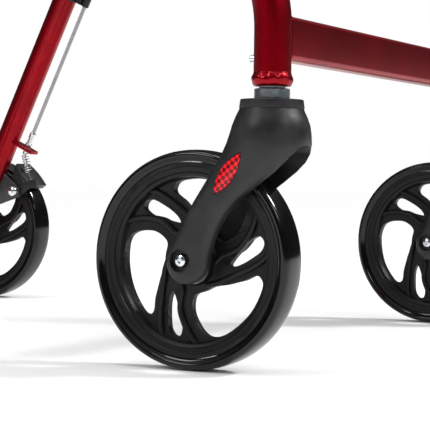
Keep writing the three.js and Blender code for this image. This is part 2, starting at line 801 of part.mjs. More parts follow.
function lowerCablePoints(side) {
  const x = side * CABLE_X;
  const near = side * (LEG_INNER_X - 9);
  const onLow = (z) => {
    const [y, up] = beforeLeg(z, CABLE_OFF);
    return V(x, y, up);
  };
  const top = { y: -Math.cos(REAR_LEAN_TOP), z: -Math.sin(REAR_LEAN_TOP) };
  const onHigh = (z, xx, off) => V(xx, legHighY(z) + top.y * off, z + top.z * off);
  const [ty, tz] = beforeLeg(TAB_Z, CABLE_OFF);
  const stop = TAB_T / 2 + GAP;
  return [
    clipPoint(side),
    onHigh(PIVOT_Z - 30, near, 0),
    onHigh(PIVOT_Z - 66, near + side * 3, 14),
    onHigh(PIVOT_Z - 104, side * (LEG_X - 5), 24),
    onHigh(PIVOT_Z - 150, x, CABLE_OFF),
    onHigh(LEG_CORNER_Z + 60, x, CABLE_OFF),
    onLow(LEG_CORNER_Z - 45),
    onLow(LEG_CORNER_Z - 80),
    onLow(LEG_CORNER_Z - 120),
    onLow((LEG_CORNER_Z + TAB_Z) / 2),
    V(x, ty + legUp.y * stop, tz + legUp.z * stop),
  ];
}

function upperCablePoints(side) {
  const clip = clipPoint(side);
  return [
    V(side * (HALF_TRACK - 11), HOUSING_Y - 1, HANDLE_Z - 24),
    V(side * (HALF_TRACK - 12), HOUSING_Y - 14, HANDLE_Z - 26),
    V(side * (HALF_TRACK - 34), HOUSING_Y - 26, HANDLE_Z - 50),
    V(side * (LEG_INNER_X - 6), HOUSING_Y - 48, HANDLE_Z - 78),
    V(clip.x, clip.y + 16, clip.z + 30),
    V(clip.x, clip.y + 3, clip.z + 5),
  ];
}

const BAND_Z = LEG_CORNER_Z - 92;
const BAND_HALF_H = 7;

function cableClip(x, side) {
  const z = BAND_Z;
  const d = BAND_HALF_H;
  const a = V(x, legLowY(z - d), z - d);
  const b = V(x, legLowY(z + d), z + d);
  const band = bar(a, b, REAR_LEG_R + 2.4, 0, TUBE_SEGS);
  const [cy, cz] = beforeLeg(z, CABLE_OFF);
  const along = (t) => V(side * CABLE_X, cy + legUp.y * t, cz + legUp.z * t);
  const eye = bar(along(-d), along(d), CABLE_R + 2.4, 0, 14);
  const midY = (cy + legLowY(z)) / 2;
  const neck = sidePlate(
    [
      [cy + legUp.y * d, cz + legUp.z * d],
      [cy - legUp.y * d, cz - legUp.z * d],
      [midY - legUp.y * d - legFront.y * 8, (cz + z) / 2 - legUp.z * d - legFront.z * 8],
      [midY + legUp.y * d - legFront.y * 8, (cz + z) / 2 + legUp.z * d - legFront.z * 8],
    ],
    Math.min(x - 5, x + side * 8),
    Math.max(x + 5, x + side * 8),
  );
  const leg = sweep(legPath(x), REAR_LEG_R + GAP, 0, TUBE_SEGS);
  const wire = bar(along(-30), along(30), CABLE_R + GAP, 0, 12);
  return cut(union(band, eye, neck), leg, wire);
}

// ---------------------------------------------------------------- handles
function handlePath(x) {
  const bottom = V(x, uprightY(UPRIGHT_TOP_Z) - HANDLE_IN * lean.y, UPRIGHT_TOP_Z - HANDLE_IN * lean.z);
  return bentPath(
    [bottom, uprightAt(x, HANDLE_Z), V(x, HANDLE_END_Y, HANDLE_Z)],
    [0, HANDLE_BEND_R],
    0.17,
  );
}

function grip(x) {
  const r = around(HANDLE_R + GAP, GRIP_SEGS);
  const profile = [
    [r, 0],
    [GRIP_R + 1.5, 0],
    [GRIP_R + 1.5, 5],
    [GRIP_R - 1.5, 9],
    [GRIP_R, GRIP_LEN * 0.45],
    [GRIP_R - 1.2, GRIP_LEN * 0.8],
    [GRIP_R + 0.5, GRIP_LEN - 5],
    [GRIP_R - 2.5, GRIP_LEN],
    [0, GRIP_LEN],
    [0, HANDLE_END_Y - GRIP_Y + GAP],
    [r, HANDLE_END_Y - GRIP_Y + GAP],
    [r, 0],
  ];
  const points = profile.map(([radius, y]) => new THREE.Vector2(radius, y));
  const geometry = new THREE.LatheGeometry(points, GRIP_SEGS);
  geometry.translate(x, GRIP_Y, 0);
  geometry.translate(0, 0, HANDLE_Z);
  return facingOut(geometry);
}

const LEVER_PIVOT = [HOUSING_Y + 9, HANDLE_Z - 27];
const LEVER_DROP = 48; // lever's axis below the grip's
const LEVER_T = 15;

function leverHousing(x) {
  const body = sidePlate(
    [
      [HOUSING_Y, HANDLE_Z - 34],
      [HOUSING_Y + HOUSING_LEN - 4, HANDLE_Z - 38],
      [HOUSING_Y + HOUSING_LEN, HANDLE_Z + 12],
      [HOUSING_Y + HOUSING_LEN - 4, HANDLE_Z + 18],
      [HOUSING_Y + 2, HANDLE_Z + 18],
      [HOUSING_Y, HANDLE_Z + 12],
    ],
    x - 15,
    x + 15,
  );
  const tube = bar(V(x, HOUSING_Y - 20, HANDLE_Z), V(x, HOUSING_Y + 40, HANDLE_Z), HANDLE_R + GAP, 0, 20);
  const slot = block(V(x, HOUSING_Y + 12, HANDLE_Z - 34), LEVER_T + 2, 60, 34);
  const pin = rodX(x - 20, x + 20, LEVER_PIVOT[0], LEVER_PIVOT[1], 3 + RUN, 16);
  return cut(body, tube, slot, pin);
}

function brakeLever(x) {
  const [py, pz] = LEVER_PIVOT;
  const low = HANDLE_Z - LEVER_DROP;
  const endY = GRIP_Y + GRIP_LEN - 14;
  const shape = new THREE.Shape();
  shape.moveTo(py - 6, pz + 4);
  shape.splineThru([
    new THREE.Vector2(py + 6, pz + 5),
    new THREE.Vector2(py + 16, low + 6),
    new THREE.Vector2(py + 34, low + 4),
    new THREE.Vector2(endY - 30, low + 4),
    new THREE.Vector2(endY, low + 9),
  ]);
  shape.splineThru([
    new THREE.Vector2(endY + 2, low + 3),
    new THREE.Vector2(endY - 30, low - 5),
    new THREE.Vector2(py + 30, low - 5),
    new THREE.Vector2(py + 6, low - 1),
    new THREE.Vector2(py - 6, pz - 6),
  ]);
  const blade = sidePlate(shape, x - LEVER_T / 2, x + LEVER_T / 2, 0, 2);
  return union(blade, rodX(x - 14.6, x + 14.6, py, pz, 3, 16));
}

// ---------------------------------------------------------------- seat, back bar, bag
function crossTube(y, z, reach, radius, wall, neighbour) {
  const tube = bar(V(-reach, y, z), V(reach, y, z), radius, radius - wall, TUBE_SEGS + 8);
  return cut(tube, neighbour(-1), neighbour(1));
}

const SEAT_Z = SEAT_TUBE_Z + SEAT_TUBE_R + 0.4;
const HINGE_W = 36;
const HINGE_X = 180;

function seatBase() {
  const front = SEAT_HINGE_Y - SEAT_OVERHANG;
  const back = REAR_TUBE_Y + SEAT_OVERHANG;
  const plate = block(
    V(0, (front + back) / 2, SEAT_Z + SEAT_BASE_T / 2),
    SEAT_HALF_W * 2,
    back - front,
    SEAT_BASE_T,
    2,
  );
  const clips = [-1, 1].map((s) =>
    block(V(s * HINGE_X, SEAT_HINGE_Y, SEAT_TUBE_Z), HINGE_W, 2 * SEAT_TUBE_R + 8, 2 * SEAT_TUBE_R + 8),
  );
  const tube = bar(
    V(-SEAT_HALF_W - 9, SEAT_HINGE_Y, SEAT_TUBE_Z),
    V(SEAT_HALF_W + 9, SEAT_HINGE_Y, SEAT_TUBE_Z),
    around(SEAT_TUBE_R + RUN, TUBE_SEGS + 8),
    0,
    TUBE_SEGS + 8,
  );
  return cut(union(plate, ...clips), tube);
}

function seatPad() {
  const front = SEAT_HINGE_Y - SEAT_OVERHANG + 4;
  const back = REAR_TUBE_Y + SEAT_OVERHANG - 4;
  const z = SEAT_Z + SEAT_BASE_T + GAP + SEAT_PAD_T / 2;
  return block(V(0, (front + back) / 2, z), SEAT_HALF_W * 2 - 8, back - front, SEAT_PAD_T, 10);
}

const BACK_END_X = LEG_INNER_X + 12;
const BACK_Z = BACK_PIVOT_Z + 22;
const BACK_Y = BACK_PIVOT_Y - BACK_REACH;

function backBar() {
  const corners = [
    V(-BACK_END_X, BACK_PIVOT_Y, BACK_PIVOT_Z),
    V(-BACK_END_X, BACK_PIVOT_Y - 40, BACK_PIVOT_Z + 7),
    V(-BACK_PAD_W / 2 - 34, BACK_Y, BACK_Z),
    V(BACK_PAD_W / 2 + 34, BACK_Y, BACK_Z),
    V(BACK_END_X, BACK_PIVOT_Y - 40, BACK_PIVOT_Z + 7),
    V(BACK_END_X, BACK_PIVOT_Y, BACK_PIVOT_Z),
  ];
  const tube = sweep(bentPath(corners, [0, 40, 60, 60, 40, 0], 0.3), BACK_TUBE_R, 0, 12);
  const eyes = [-1, 1].map((s) =>
    rodX(s * (BACK_END_X - BACK_TUBE_R), s * (BACK_END_X + BACK_TUBE_R), BACK_PIVOT_Y, BACK_PIVOT_Z, 11),
  );
  const pinHole = around(BACK_PIN_R + RUN, TUBE_SEGS);
  const pins = [-1, 1].map((s) =>
    rodX(s * (BACK_END_X - 20), s * (BACK_END_X + 20), BACK_PIVOT_Y, BACK_PIVOT_Z, pinHole, TUBE_SEGS),
  );
  return cut(union(tube, ...eyes), ...pins);
}

function backPad() {
  const body = block(V(0, BACK_Y, BACK_Z), BACK_PAD_W, BACK_PAD_T, BACK_PAD_H, 12);
  return cut(body, rodX(-BACK_PAD_W, BACK_PAD_W, BACK_Y, BACK_Z, BACK_TUBE_R + GAP, 16));
}

const BAG_Y0 = SEAT_HINGE_Y + SEAT_TUBE_R + 8;

function storageBag() {
  const zc = BAG_TOP_Z - BAG_H / 2;
  const yc = BAG_Y0 + BAG_DEPTH / 2;
  const shell = block(V(0, yc, zc), BAG_HALF_W * 2, BAG_DEPTH, BAG_H, 14);
  const room = block(
    V(0, yc, zc + BAG_WALL + 15),
    (BAG_HALF_W - BAG_WALL) * 2,
    BAG_DEPTH - 2 * BAG_WALL,
    BAG_H + 30,
    11,
  );
  const lid = block(V(0, yc, BAG_TOP_Z + 40), BAG_HALF_W * 3, BAG_DEPTH * 2, 80 + GAP);
  const loops = [-1, 1].map((s) =>
    cut(block(V(s * BAG_HALF_W * 0.45, BAG_Y0 - 4, BAG_TOP_Z + 8), 28, 14, 46), room),
  );
  const tubeHole = around(SEAT_TUBE_R + GAP, TUBE_SEGS);
  const tube = rodX(-BAG_HALF_W, BAG_HALF_W, SEAT_HINGE_Y, SEAT_TUBE_Z, tubeHole, TUBE_SEGS);
  return cut(union(cut(shell, room, lid), ...loops), tube);
}

// ---------------------------------------------------------------- assembly
const SIDES = { left: 1, right: -1 };

for (const [hand, side] of Object.entries(SIDES)) {
  const x = side * HALF_TRACK;
  const frontHub = V(x, TRAIL, WHEEL_R);
  const rearHub = V(x, REAR_AXLE_Y, WHEEL_R);
  add(`upright_${hand}`, upright(x, side), RED);
  add(`stem_bolt_${hand}`, stemBolt(x), ZINC);
  add(`stem_nut_${hand}`, stemNut(x), ZINC);
  add(`fork_cap_${hand}`, forkCap(x), BLACK);
  add(`fork_${hand}`, fork(x), GREY);
  add(`reflector_${hand}`, reflector(x, side), LENS);
  const inset = FORK_HALF_W - RECESS_DEPTH + GAP;
  add(`front_axle_${hand}`, axleBolt(x, TRAIL, -inset, inset, side, 6, 5), ZINC);
  add(`front_rim_${hand}`, rim(frontHub, FORK_GAP_HALF - 0.6), BLACK);
  add(`front_tyre_${hand}`, tyre(frontHub), RUBBER);
  add(`rear_leg_${hand}`, rearLeg(side * LEG_X, side), RED);
  add(`rear_axle_${hand}`, rearAxle(x, side), ZINC);
  add(`rear_rim_${hand}`, rim(rearHub, TYRE_W / 2 - 2), BLACK);
  add(`rear_tyre_${hand}`, tyre(rearHub), RUBBER);
  add(`brake_bracket_${hand}`, brakeBracket(side), BLACK);
  add(`brake_bolt_${hand}`, brakeBolt(side), ZINC);
  add(`brake_arm_${hand}`, brakeArm(x, side), BLACK);
  add(`brake_spring_${hand}`, brakeSpring(side), ZINC);
  add(`brake_cable_lower_${hand}`, sweep(smoothPath(lowerCablePoints(side), 26), CABLE_R, 0, 8), CABLE);
  add(`brake_cable_upper_${hand}`, sweep(smoothPath(upperCablePoints(side), 10), CABLE_R, 0, 8), CABLE);
  add(`cable_clip_${hand}`, cableClip(side * LEG_X, side), BLACK);
  add(`handle_tube_${hand}`, sweep(handlePath(x), HANDLE_R, HANDLE_R - HANDLE_WALL, TUBE_SEGS), ZINC);
  add(`grip_${hand}`, grip(x), BLACK);
  add(`lever_housing_${hand}`, leverHousing(x), BLACK);
  add(`brake_lever_${hand}`, brakeLever(x), BLACK);
  add(`height_knob_${hand}`, heightKnob(x, side), BLACK);
}

const uprightClear = (side) => sweep(uprightPath(side * HALF_TRACK), UPRIGHT_R + GAP, 0, TUBE_SEGS);
const legClear = (side) => sweep(legPath(side * LEG_X), REAR_LEG_R + GAP, 0, TUBE_SEGS);

function lowerCrossbar() {
  const middle = V(0, 0, CROSSBAR_Z);
  const outer = block(middle, TRACK - UPRIGHT_R, CROSSBAR_D, CROSSBAR_H, CROSSBAR_CORNER);
  const wall = 2;
  const hollow = block(
    middle,
    TRACK,
    CROSSBAR_D - 2 * wall,
    CROSSBAR_H - 2 * wall,
    CROSSBAR_CORNER - wall,
  );
  return cut(outer, hollow, uprightClear(-1), uprightClear(1));
}

add("lower_crossbar", lowerCrossbar(), RED);
const seatTubeReach = HALF_TRACK - UPRIGHT_R / 2;
add("seat_crossbar", crossTube(SEAT_HINGE_Y, SEAT_TUBE_Z, seatTubeReach, SEAT_TUBE_R, 2, uprightClear), RED);
const rearTubeReach = LEG_X - REAR_LEG_R / 2;
add("rear_crossbar", crossTube(REAR_TUBE_Y, SEAT_TUBE_Z, rearTubeReach, SEAT_TUBE_R, 2, legClear), RED);
add("seat_base", seatBase(), BLACK);
add("seat_pad", seatPad(), FABRIC);
add("back_bar", backBar(), BLACK);
add("back_pad", backPad(), FABRIC);
add("storage_bag", storageBag(), FABRIC);

// The origin is the middle of the footprint: from the fork's nose to the back of the rear tyre.
const footprint = new THREE.Box3().setFromObject(rollator);
rollator.position.set(0, -(footprint.min.y + footprint.max.y) / 2, 0);

export default rollator;
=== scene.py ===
import json
import math

import bmesh
import bpy
from mathutils import Matrix, Vector, noise


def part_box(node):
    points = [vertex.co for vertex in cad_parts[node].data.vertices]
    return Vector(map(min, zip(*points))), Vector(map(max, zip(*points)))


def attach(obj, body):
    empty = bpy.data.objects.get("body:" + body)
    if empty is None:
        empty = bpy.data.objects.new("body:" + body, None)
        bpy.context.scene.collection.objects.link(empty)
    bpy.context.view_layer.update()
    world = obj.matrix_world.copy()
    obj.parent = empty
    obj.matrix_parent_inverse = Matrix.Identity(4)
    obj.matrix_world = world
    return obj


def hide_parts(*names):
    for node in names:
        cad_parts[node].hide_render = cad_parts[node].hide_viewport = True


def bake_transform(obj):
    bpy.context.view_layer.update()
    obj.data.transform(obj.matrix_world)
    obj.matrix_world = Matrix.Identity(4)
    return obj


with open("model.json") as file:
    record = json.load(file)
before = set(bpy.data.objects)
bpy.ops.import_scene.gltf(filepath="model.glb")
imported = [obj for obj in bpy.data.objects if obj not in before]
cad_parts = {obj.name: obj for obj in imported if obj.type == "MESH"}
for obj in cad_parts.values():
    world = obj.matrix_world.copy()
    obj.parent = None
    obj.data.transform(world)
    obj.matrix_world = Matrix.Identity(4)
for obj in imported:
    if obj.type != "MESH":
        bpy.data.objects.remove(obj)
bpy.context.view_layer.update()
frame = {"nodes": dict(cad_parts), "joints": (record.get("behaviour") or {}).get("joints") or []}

MM = 0.001
HANDS = {"left": 1, "right": -1}
UP = Vector((0, 0, 1))


# ---------------------------------------------------------------- places, from the frame
def low(node):
    return Vector(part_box(node)[0])


def high(node):
    return Vector(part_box(node)[1])


def middle(node):
    return (low(node) + high(node)) / 2


JOINTS = {joint["name"]: joint for joint in frame["joints"]}


def pivot(name):
    return Vector(JOINTS[name]["pos_m"])


STEM_Y = middle("fork_cap_left").y
HALF_TRACK = middle("front_tyre_left").x
LEG_X = middle("rear_leg_left").x
WHEEL_R = (high("front_tyre_left").z - low("front_tyre_left").z) / 2
REAR_AXLE_Y = middle("rear_tyre_left").y
FOLD = pivot("frame_fold")
SEAT_HINGE = pivot("seat_lift")
BACK_HINGE = pivot("backrest_lift")
UPRIGHT_FOOT = low("upright_left").z


# Places below are read as millimetres behind the stems' line and above the floor.
def spot(x, y, z):
    return Vector((x, STEM_Y + y * MM, z * MM))


# ---------------------------------------------------------------- camera
CAMERA_TURN = math.radians(-61.65)
CAMERA_DIP = math.radians(1.18)
CAMERA_ROLL = math.radians(0.88)
CAMERA_LENS = 133.1


def set_camera():
    place = spot(-HALF_TRACK - 1.1993, -594.4, 162.1)
    ahead = Vector((
        -math.sin(CAMERA_TURN) * math.cos(CAMERA_DIP),
        math.cos(CAMERA_TURN) * math.cos(CAMERA_DIP),
        -math.sin(CAMERA_DIP),
    ))
    across = Vector((math.cos(CAMERA_TURN), math.sin(CAMERA_TURN), 0))
    above = across.cross(ahead)
    right = across * math.cos(CAMERA_ROLL) + above * math.sin(CAMERA_ROLL)
    upward = right.cross(ahead)
    data = bpy.data.cameras.new("camera")
    data.lens = CAMERA_LENS
    data.sensor_width = 36
    data.clip_end = 50
    camera = bpy.data.objects.new("camera", data)
    turn = Matrix((right, upward, -ahead)).transposed().to_4x4()
    camera.matrix_world = Matrix.Translation(place) @ turn
    bpy.context.collection.objects.link(camera)
    bpy.context.scene.camera = camera


set_camera()


# ---------------------------------------------------------------- finishes
def node_finish(name, colour, rough, metal=0.0, tint=0.12, tint_scale=30.0, grain=500.0, bump=0.05,
                rough_spread=0.08, coat=0.0, specular=0.5):
    """A procedural finish: cloudy tint, uneven roughness and a fine moulded or cast grain."""
    material = bpy.data.materials.new(name)
    material.use_nodes = True
    tree = material.node_tree
    shader = tree.nodes["Principled BSDF"]
    shader.inputs["Metallic"].default_value = metal
    shader.inputs["Coat Weight"].default_value = coat
    shader.inputs["Coat Roughness"].default_value = 0.06
    shader.inputs["Specular IOR Level"].default_value = specular
    place = tree.nodes.new("ShaderNodeTexCoord")
    clouds = tree.nodes.new("ShaderNodeTexNoise")
    clouds.inputs["Scale"].default_value = tint_scale
    clouds.inputs["Detail"].default_value = 5
    tree.links.new(place.outputs["Object"], clouds.inputs["Vector"])
    ramp = tree.nodes.new("ShaderNodeValToRGB")
    ramp.color_ramp.elements[0].position = 0.3
    ramp.color_ramp.elements[1].position = 0.7
    ramp.color_ramp.elements[0].color = (*[c * (1 - tint) for c in colour], 1)
    ramp.color_ramp.elements[1].color = (*[min(1, c * (1 + tint)) for c in colour], 1)
    tree.links.new(clouds.outputs["Fac"], ramp.inputs["Fac"])
    tree.links.new(ramp.outputs["Color"], shader.inputs["Base Color"])
    spread = tree.nodes.new("ShaderNodeMapRange")
    spread.inputs["To Min"].default_value = max(0.02, rough - rough_spread)
    spread.inputs["To Max"].default_value = rough + rough_spread
    tree.links.new(clouds.outputs["Fac"], spread.inputs["Value"])
    tree.links.new(spread.outputs["Result"], shader.inputs["Roughness"])
    fine = tree.nodes.new("ShaderNodeTexNoise")
    fine.inputs["Scale"].default_value = grain
    fine.inputs["Detail"].default_value = 3
    tree.links.new(place.outputs["Object"], fine.inputs["Vector"])
    dents = tree.nodes.new("ShaderNodeBump")
    dents.inputs["Strength"].default_value = bump
    dents.inputs["Distance"].default_value = 0.0004
    tree.links.new(fine.outputs["Fac"], dents.inputs["Height"])
    tree.links.new(dents.outputs["Normal"], shader.inputs["Normal"])
    return material


def candy_red():
    """Translucent red lacquer over a bright base, with metal flakes that catch the light."""
    material = node_finish("candy_red_lacquer", (0.30, 0.0005, 0.007), 0.30, metal=0.96, tint=0.22,
                           tint_scale=18, grain=900, bump=0.05, rough_spread=0.06, coat=0.22)
    tree = material.node_tree
    shader = tree.nodes["Principled BSDF"]
    place = tree.nodes["Texture Coordinate"]
    flakes = tree.nodes.new("ShaderNodeTexVoronoi")
    flakes.inputs["Scale"].default_value = 1400
    tree.links.new(place.outputs["Object"], flakes.inputs["Vector"])
    sparkle = tree.nodes.new("ShaderNodeMapRange")
    sparkle.inputs["From Max"].default_value = 0.6
    sparkle.inputs["To Min"].default_value = 0.2
    sparkle.inputs["To Max"].default_value = 0.42
    tree.links.new(flakes.outputs["Distance"], sparkle.inputs["Value"])
    tree.links.new(sparkle.outputs["Result"], shader.inputs["Roughness"])
    return material


def red_lens():
    """Moulded reflector: rows of small square prisms under a clear face, with a painted glow: the lens emits
    light of its own though it is no lamp.
    """
    material = bpy.data.materials.new("red_prism_lens")
    material.use_nodes = True
    tree = material.node_tree
    shader = tree.nodes["Principled BSDF"]
    shader.inputs["Coat Weight"].default_value = 0.25
    shader.inputs["Specular IOR Level"].default_value = 0.25
    shader.inputs["Coat Roughness"].default_value = 0.05
    shader.inputs["Roughness"].default_value = 0.25
    place = tree.nodes.new("ShaderNodeTexCoord")
    turned = tree.nodes.new("ShaderNodeMapping")
    turned.inputs["Rotation"].default_value = (math.radians(-8), 0, 0)
    turned.inputs["Location"].default_value = (0.0005, 0, 0)
    tree.links.new(place.outputs["Object"], turned.inputs["Vector"])
    flat = tree.nodes.new("ShaderNodeVectorMath")
    flat.operation = "MULTIPLY"
    flat.inputs[1].default_value = (0, 1, 1)
    tree.links.new(turned.outputs["Vector"], flat.inputs[0])
    prisms = tree.nodes.new("ShaderNodeTexChecker")
    prisms.inputs["Scale"].default_value = 300
    prisms.inputs["Color1"].default_value = (0.72, 0.008, 0.016, 1)
    prisms.inputs["Color2"].default_value = (0.13, 0.0, 0.004, 1)
    tree.links.new(flat.outputs["Vector"], prisms.inputs["Vector"])
    tree.links.new(prisms.outputs["Color"], shader.inputs["Base Color"])
    # Painted glow: the prism colours, dimmed, are fed to emission, so the lens lights itself up as if it were
    # reflecting a lamp.
    painted_glow = tree.nodes.new("ShaderNodeVectorMath")
    painted_glow.operation = "MULTIPLY"
    painted_glow.inputs[1].default_value = (0.55, 0.3, 0.3)
    tree.links.new(prisms.outputs["Color"], painted_glow.inputs[0])
    tree.links.new(painted_glow.outputs["Vector"], shader.inputs["Emission Color"])
    shader.inputs["Emission Strength"].default_value = 0.25
    facets = tree.nodes.new("ShaderNodeBump")
    facets.inputs["Strength"].default_value = 0.5
    facets.inputs["Distance"].default_value = 0.0006
    tree.links.new(prisms.outputs["Fac"], facets.inputs["Height"])
    tree.links.new(facets.outputs["Normal"], shader.inputs["Normal"])
    return material


def vinyl():
    """Black upholstery vinyl: leather-like cells between shallow creases."""
    material = node_finish("seat_vinyl", (0.028, 0.028, 0.031), 0.46, tint=0.2, tint_scale=9, grain=600,
                           bump=0.1)
    tree = material.node_tree
    place = tree.nodes["Texture Coordinate"]
    cells = tree.nodes.new("ShaderNodeTexVoronoi")
    cells.feature = "DISTANCE_TO_EDGE"
    cells.inputs["Scale"].default_value = 420
    tree.links.new(place.outputs["Object"], cells.inputs["Vector"])
    creases = tree.nodes.new("ShaderNodeBump")
    creases.inputs["Strength"].default_value = 0.35
    creases.inputs["Distance"].default_value = 0.0006
    tree.links.new(cells.outputs["Distance"], creases.inputs["Height"])
    tree.links.new(tree.nodes["Bump"].outputs["Normal"], creases.inputs["Normal"])
    tree.links.new(creases.outputs["Normal"], tree.nodes["Principled BSDF"].inputs["Normal"])
    return material


def bag_weave():
    """Coarse black nylon: warp and weft threads as two crossed waves."""
    material = node_finish("bag_weave", (0.03, 0.03, 0.036), 0.8, tint=0.25, tint_scale=12, grain=300,
                           bump=0.1)
    tree = material.node_tree
    place = tree.nodes["Texture Coordinate"]
    threads = []
    for direction in ("X", "Z"):
        wave = tree.nodes.new("ShaderNodeTexWave")
        wave.bands_direction = direction
        wave.inputs["Scale"].default_value = 180
        wave.inputs["Distortion"].default_value = 0.3
        tree.links.new(place.outputs["Object"], wave.inputs["Vector"])
        threads.append(wave)
    both = tree.nodes.new("ShaderNodeMath")
    both.operation = "MAXIMUM"
    tree.links.new(threads[0].outputs["Fac"], both.inputs[0])
    tree.links.new(threads[1].outputs["Fac"], both.inputs[1])
    weave = tree.nodes.new("ShaderNodeBump")
    weave.inputs["Strength"].default_value = 0.6
    weave.inputs["Distance"].default_value = 0.0008
    tree.links.new(both.outputs["Value"], weave.inputs["Height"])
    tree.links.new(weave.outputs["Normal"], tree.nodes["Principled BSDF"].inputs["Normal"])
    return material


RED = candy_red()
LENS = red_lens()
VINYL = vinyl()
WEAVE = bag_weave()
FORK_PLASTIC = node_finish("fork_nylon", (0.013, 0.013, 0.0145), 0.38, tint=0.45, tint_scale=45, grain=1500,
                           bump=0.3, rough_spread=0.16, specular=0.42)
RIM_PLASTIC = node_finish("rim_nylon", (0.0055, 0.0055, 0.006), 0.42, tint=0.3, tint_scale=30, grain=1300,
                          bump=0.2,
                          specular=0.26)
SMALL_PLASTIC = node_finish("small_mouldings", (0.012, 0.012, 0.013), 0.4, grain=1200, bump=0.15,
                            specular=0.35)
TYRE = node_finish("tyre_polyurethane", (0.003, 0.003, 0.003), 0.13, tint=0.2, tint_scale=60, grain=350,
                   bump=0.04,
                   rough_spread=0.05, coat=0.15, specular=0.3)
ZINC = node_finish("zinc_plate", (0.25, 0.285, 0.305), 0.34, metal=1.0, tint=0.28, tint_scale=220, grain=800,
                   bump=0.2)
BOLT_ZINC = node_finish("bright_zinc", (0.72, 0.76, 0.80), 0.22, metal=1.0, tint=0.1, tint_scale=300,
                        grain=900)
ALLOY = node_finish("satin_alloy", (0.62, 0.63, 0.65), 0.36, metal=1.0, tint=0.05, tint_scale=90, grain=700)
SHEATH = node_finish("cable_sheath", (0.36, 0.35, 0.37), 0.5, tint=0.08, tint_scale=80, grain=900)
GRIP_RUBBER = node_finish("grip_rubber", (0.022, 0.022, 0.023), 0.62, tint=0.2, tint_scale=70, grain=600,
                          bump=0.3)
BLACK_COAT = node_finish("black_powder_coat", (0.022, 0.022, 0.023), 0.45, tint=0.1, grain=1100, bump=0.35,
                         coat=0.2)


# ---------------------------------------------------------------- mesh work
def keep(name, bm, material, body, *replaced, sharp=32, slot=None):
    """Makes the bmesh a piece that rides on a body and stands for its CAD nodes."""
    bmesh.ops.remove_doubles(bm, verts=bm.verts, dist=1e-6)
    bmesh.ops.recalc_face_normals(bm, faces=bm.faces)
    mesh = bpy.data.meshes.new(name)
    bm.to_mesh(mesh)
    bm.free()
    return finish_piece(name, mesh, material, body, *replaced, sharp=sharp, slot=slot)


def finish_piece(name, mesh, material, body, *replaced, sharp=32, slot=None):
    mesh.materials.clear()
    mesh.materials.append(material)
    for face in mesh.polygons:
        face.use_smooth = True
    mesh.set_sharp_from_angle(angle=math.radians(sharp))
    obj = bpy.data.objects.new(name, mesh)
    bpy.context.collection.objects.link(obj)
    if body:
        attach(obj, body)
    if replaced:
        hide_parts(*replaced)
    return obj


def spun(profile, axis, at, steps=64, bm=None):
    """Turns a closed profile of (radius, distance along the axis), in mm, about an axis."""
    bm = bm or bmesh.new()
    axis = Vector(axis).normalized()
    out = axis.orthogonal().normalized()
    verts = [bm.verts.new(at + (out * r + axis * d) * MM) for r, d in profile]
    edges = [bm.edges.new((a, b)) for a, b in zip(verts, verts[1:])]
    if profile[0][0] > 0 and profile[-1][0] > 0:
        edges.append(bm.edges.new((verts[-1], verts[0])))
    bmesh.ops.spin(bm, geom=verts + edges, cent=at, axis=axis, dvec=(0, 0, 0), angle=2 * math.pi,
                   steps=steps, use_merge=True, use_duplicate=False)
    bmesh.ops.remove_doubles(bm, verts=bm.verts, dist=1e-6)
    return bm


def rod(a, b, radius, bm=None, chamfer=0.6, steps=32, sides=None):
    """A round or many-sided bar from a to b with eased ends; radius in mm."""
    length = (b - a).length / MM
    profile = [(0, 0), (radius - chamfer, 0), (radius, chamfer), (radius, length - chamfer),
               (radius - chamfer, length), (0, length)]
    return spun(profile, b - a, a, sides or steps, bm)


def extruded(outline, x0, x1, bm=None, bevel=0.0, segments=3):
    """A plate drawn in the side view, points in metres (y, z), from x0 to x1."""
    plate = bmesh.new()
    verts = [plate.verts.new((x0, y, z)) for y, z in outline]
    face = plate.faces.new(verts)
    moved = bmesh.ops.extrude_face_region(plate, geom=[face])
    new = [v for v in moved["geom"] if isinstance(v, bmesh.types.BMVert)]
    bmesh.ops.translate(plate, verts=new, vec=(x1 - x0, 0, 0))
    bmesh.ops.recalc_face_normals(plate, faces=plate.faces)
    if bevel:
        rims = [e for e in plate.edges if abs(e.verts[0].co.x - e.verts[1].co.x) < 1e-6]
        bmesh.ops.bevel(plate, geom=rims, offset=bevel * MM, segments=segments, profile=0.5,
                        affect="EDGES", material=-1)
    return merged(plate, bm)


def merged(source, target):
    if target is None:
        return source
    mesh = bpy.data.meshes.new("part")
    source.to_mesh(mesh)
    source.free()
    target.from_mesh(mesh)
    bpy.data.meshes.remove(mesh)
    return target


def rounded_route(corners, radii, step=0.06):
    """Points along straight runs joined by arcs; corners are Vectors, radii in mm."""
    points = [corners[0]]
    for i in range(1, len(corners) - 1):
        into = (corners[i] - corners[i - 1]).normalized()
        out = (corners[i + 1] - corners[i]).normalized()
        turn = into.angle(out)
        reach = radii[i] * MM * math.tan(turn / 2)
        start = corners[i] - into * reach
        axis = into.cross(out).normalized()
        arm = -axis.cross(into) * radii[i] * MM
        centre = start - arm
        count = max(3, math.ceil(turn / step))
        for k in range(count + 1):
            points.append(centre + Matrix.Rotation(turn * k / count, 3, axis) @ arm)
    points.append(corners[-1])
    return points


def tube_mesh(points, radius, sides=9, cyclic=False):
    """A round tube along points, capped; radius in mm."""
    data = bpy.data.curves.new("run", "CURVE")
    data.dimensions = "3D"
    data.bevel_depth = radius * MM
    data.bevel_resolution = sides
    data.use_fill_caps = not cyclic
    data.twist_mode = "MINIMUM"
    spline = data.splines.new("POLY")
    spline.points.add(len(points) - 1)
    for target, point in zip(spline.points, points):
        target.co = (*point, 1)
    spline.use_cyclic_u = cyclic
    obj = bpy.data.objects.new("run", data)
    bpy.context.collection.objects.link(obj)
    mesh = bpy.data.meshes.new_from_object(obj.evaluated_get(bpy.context.evaluated_depsgraph_get()))
    bpy.data.objects.remove(obj)
    bpy.data.curves.remove(data)
    return mesh


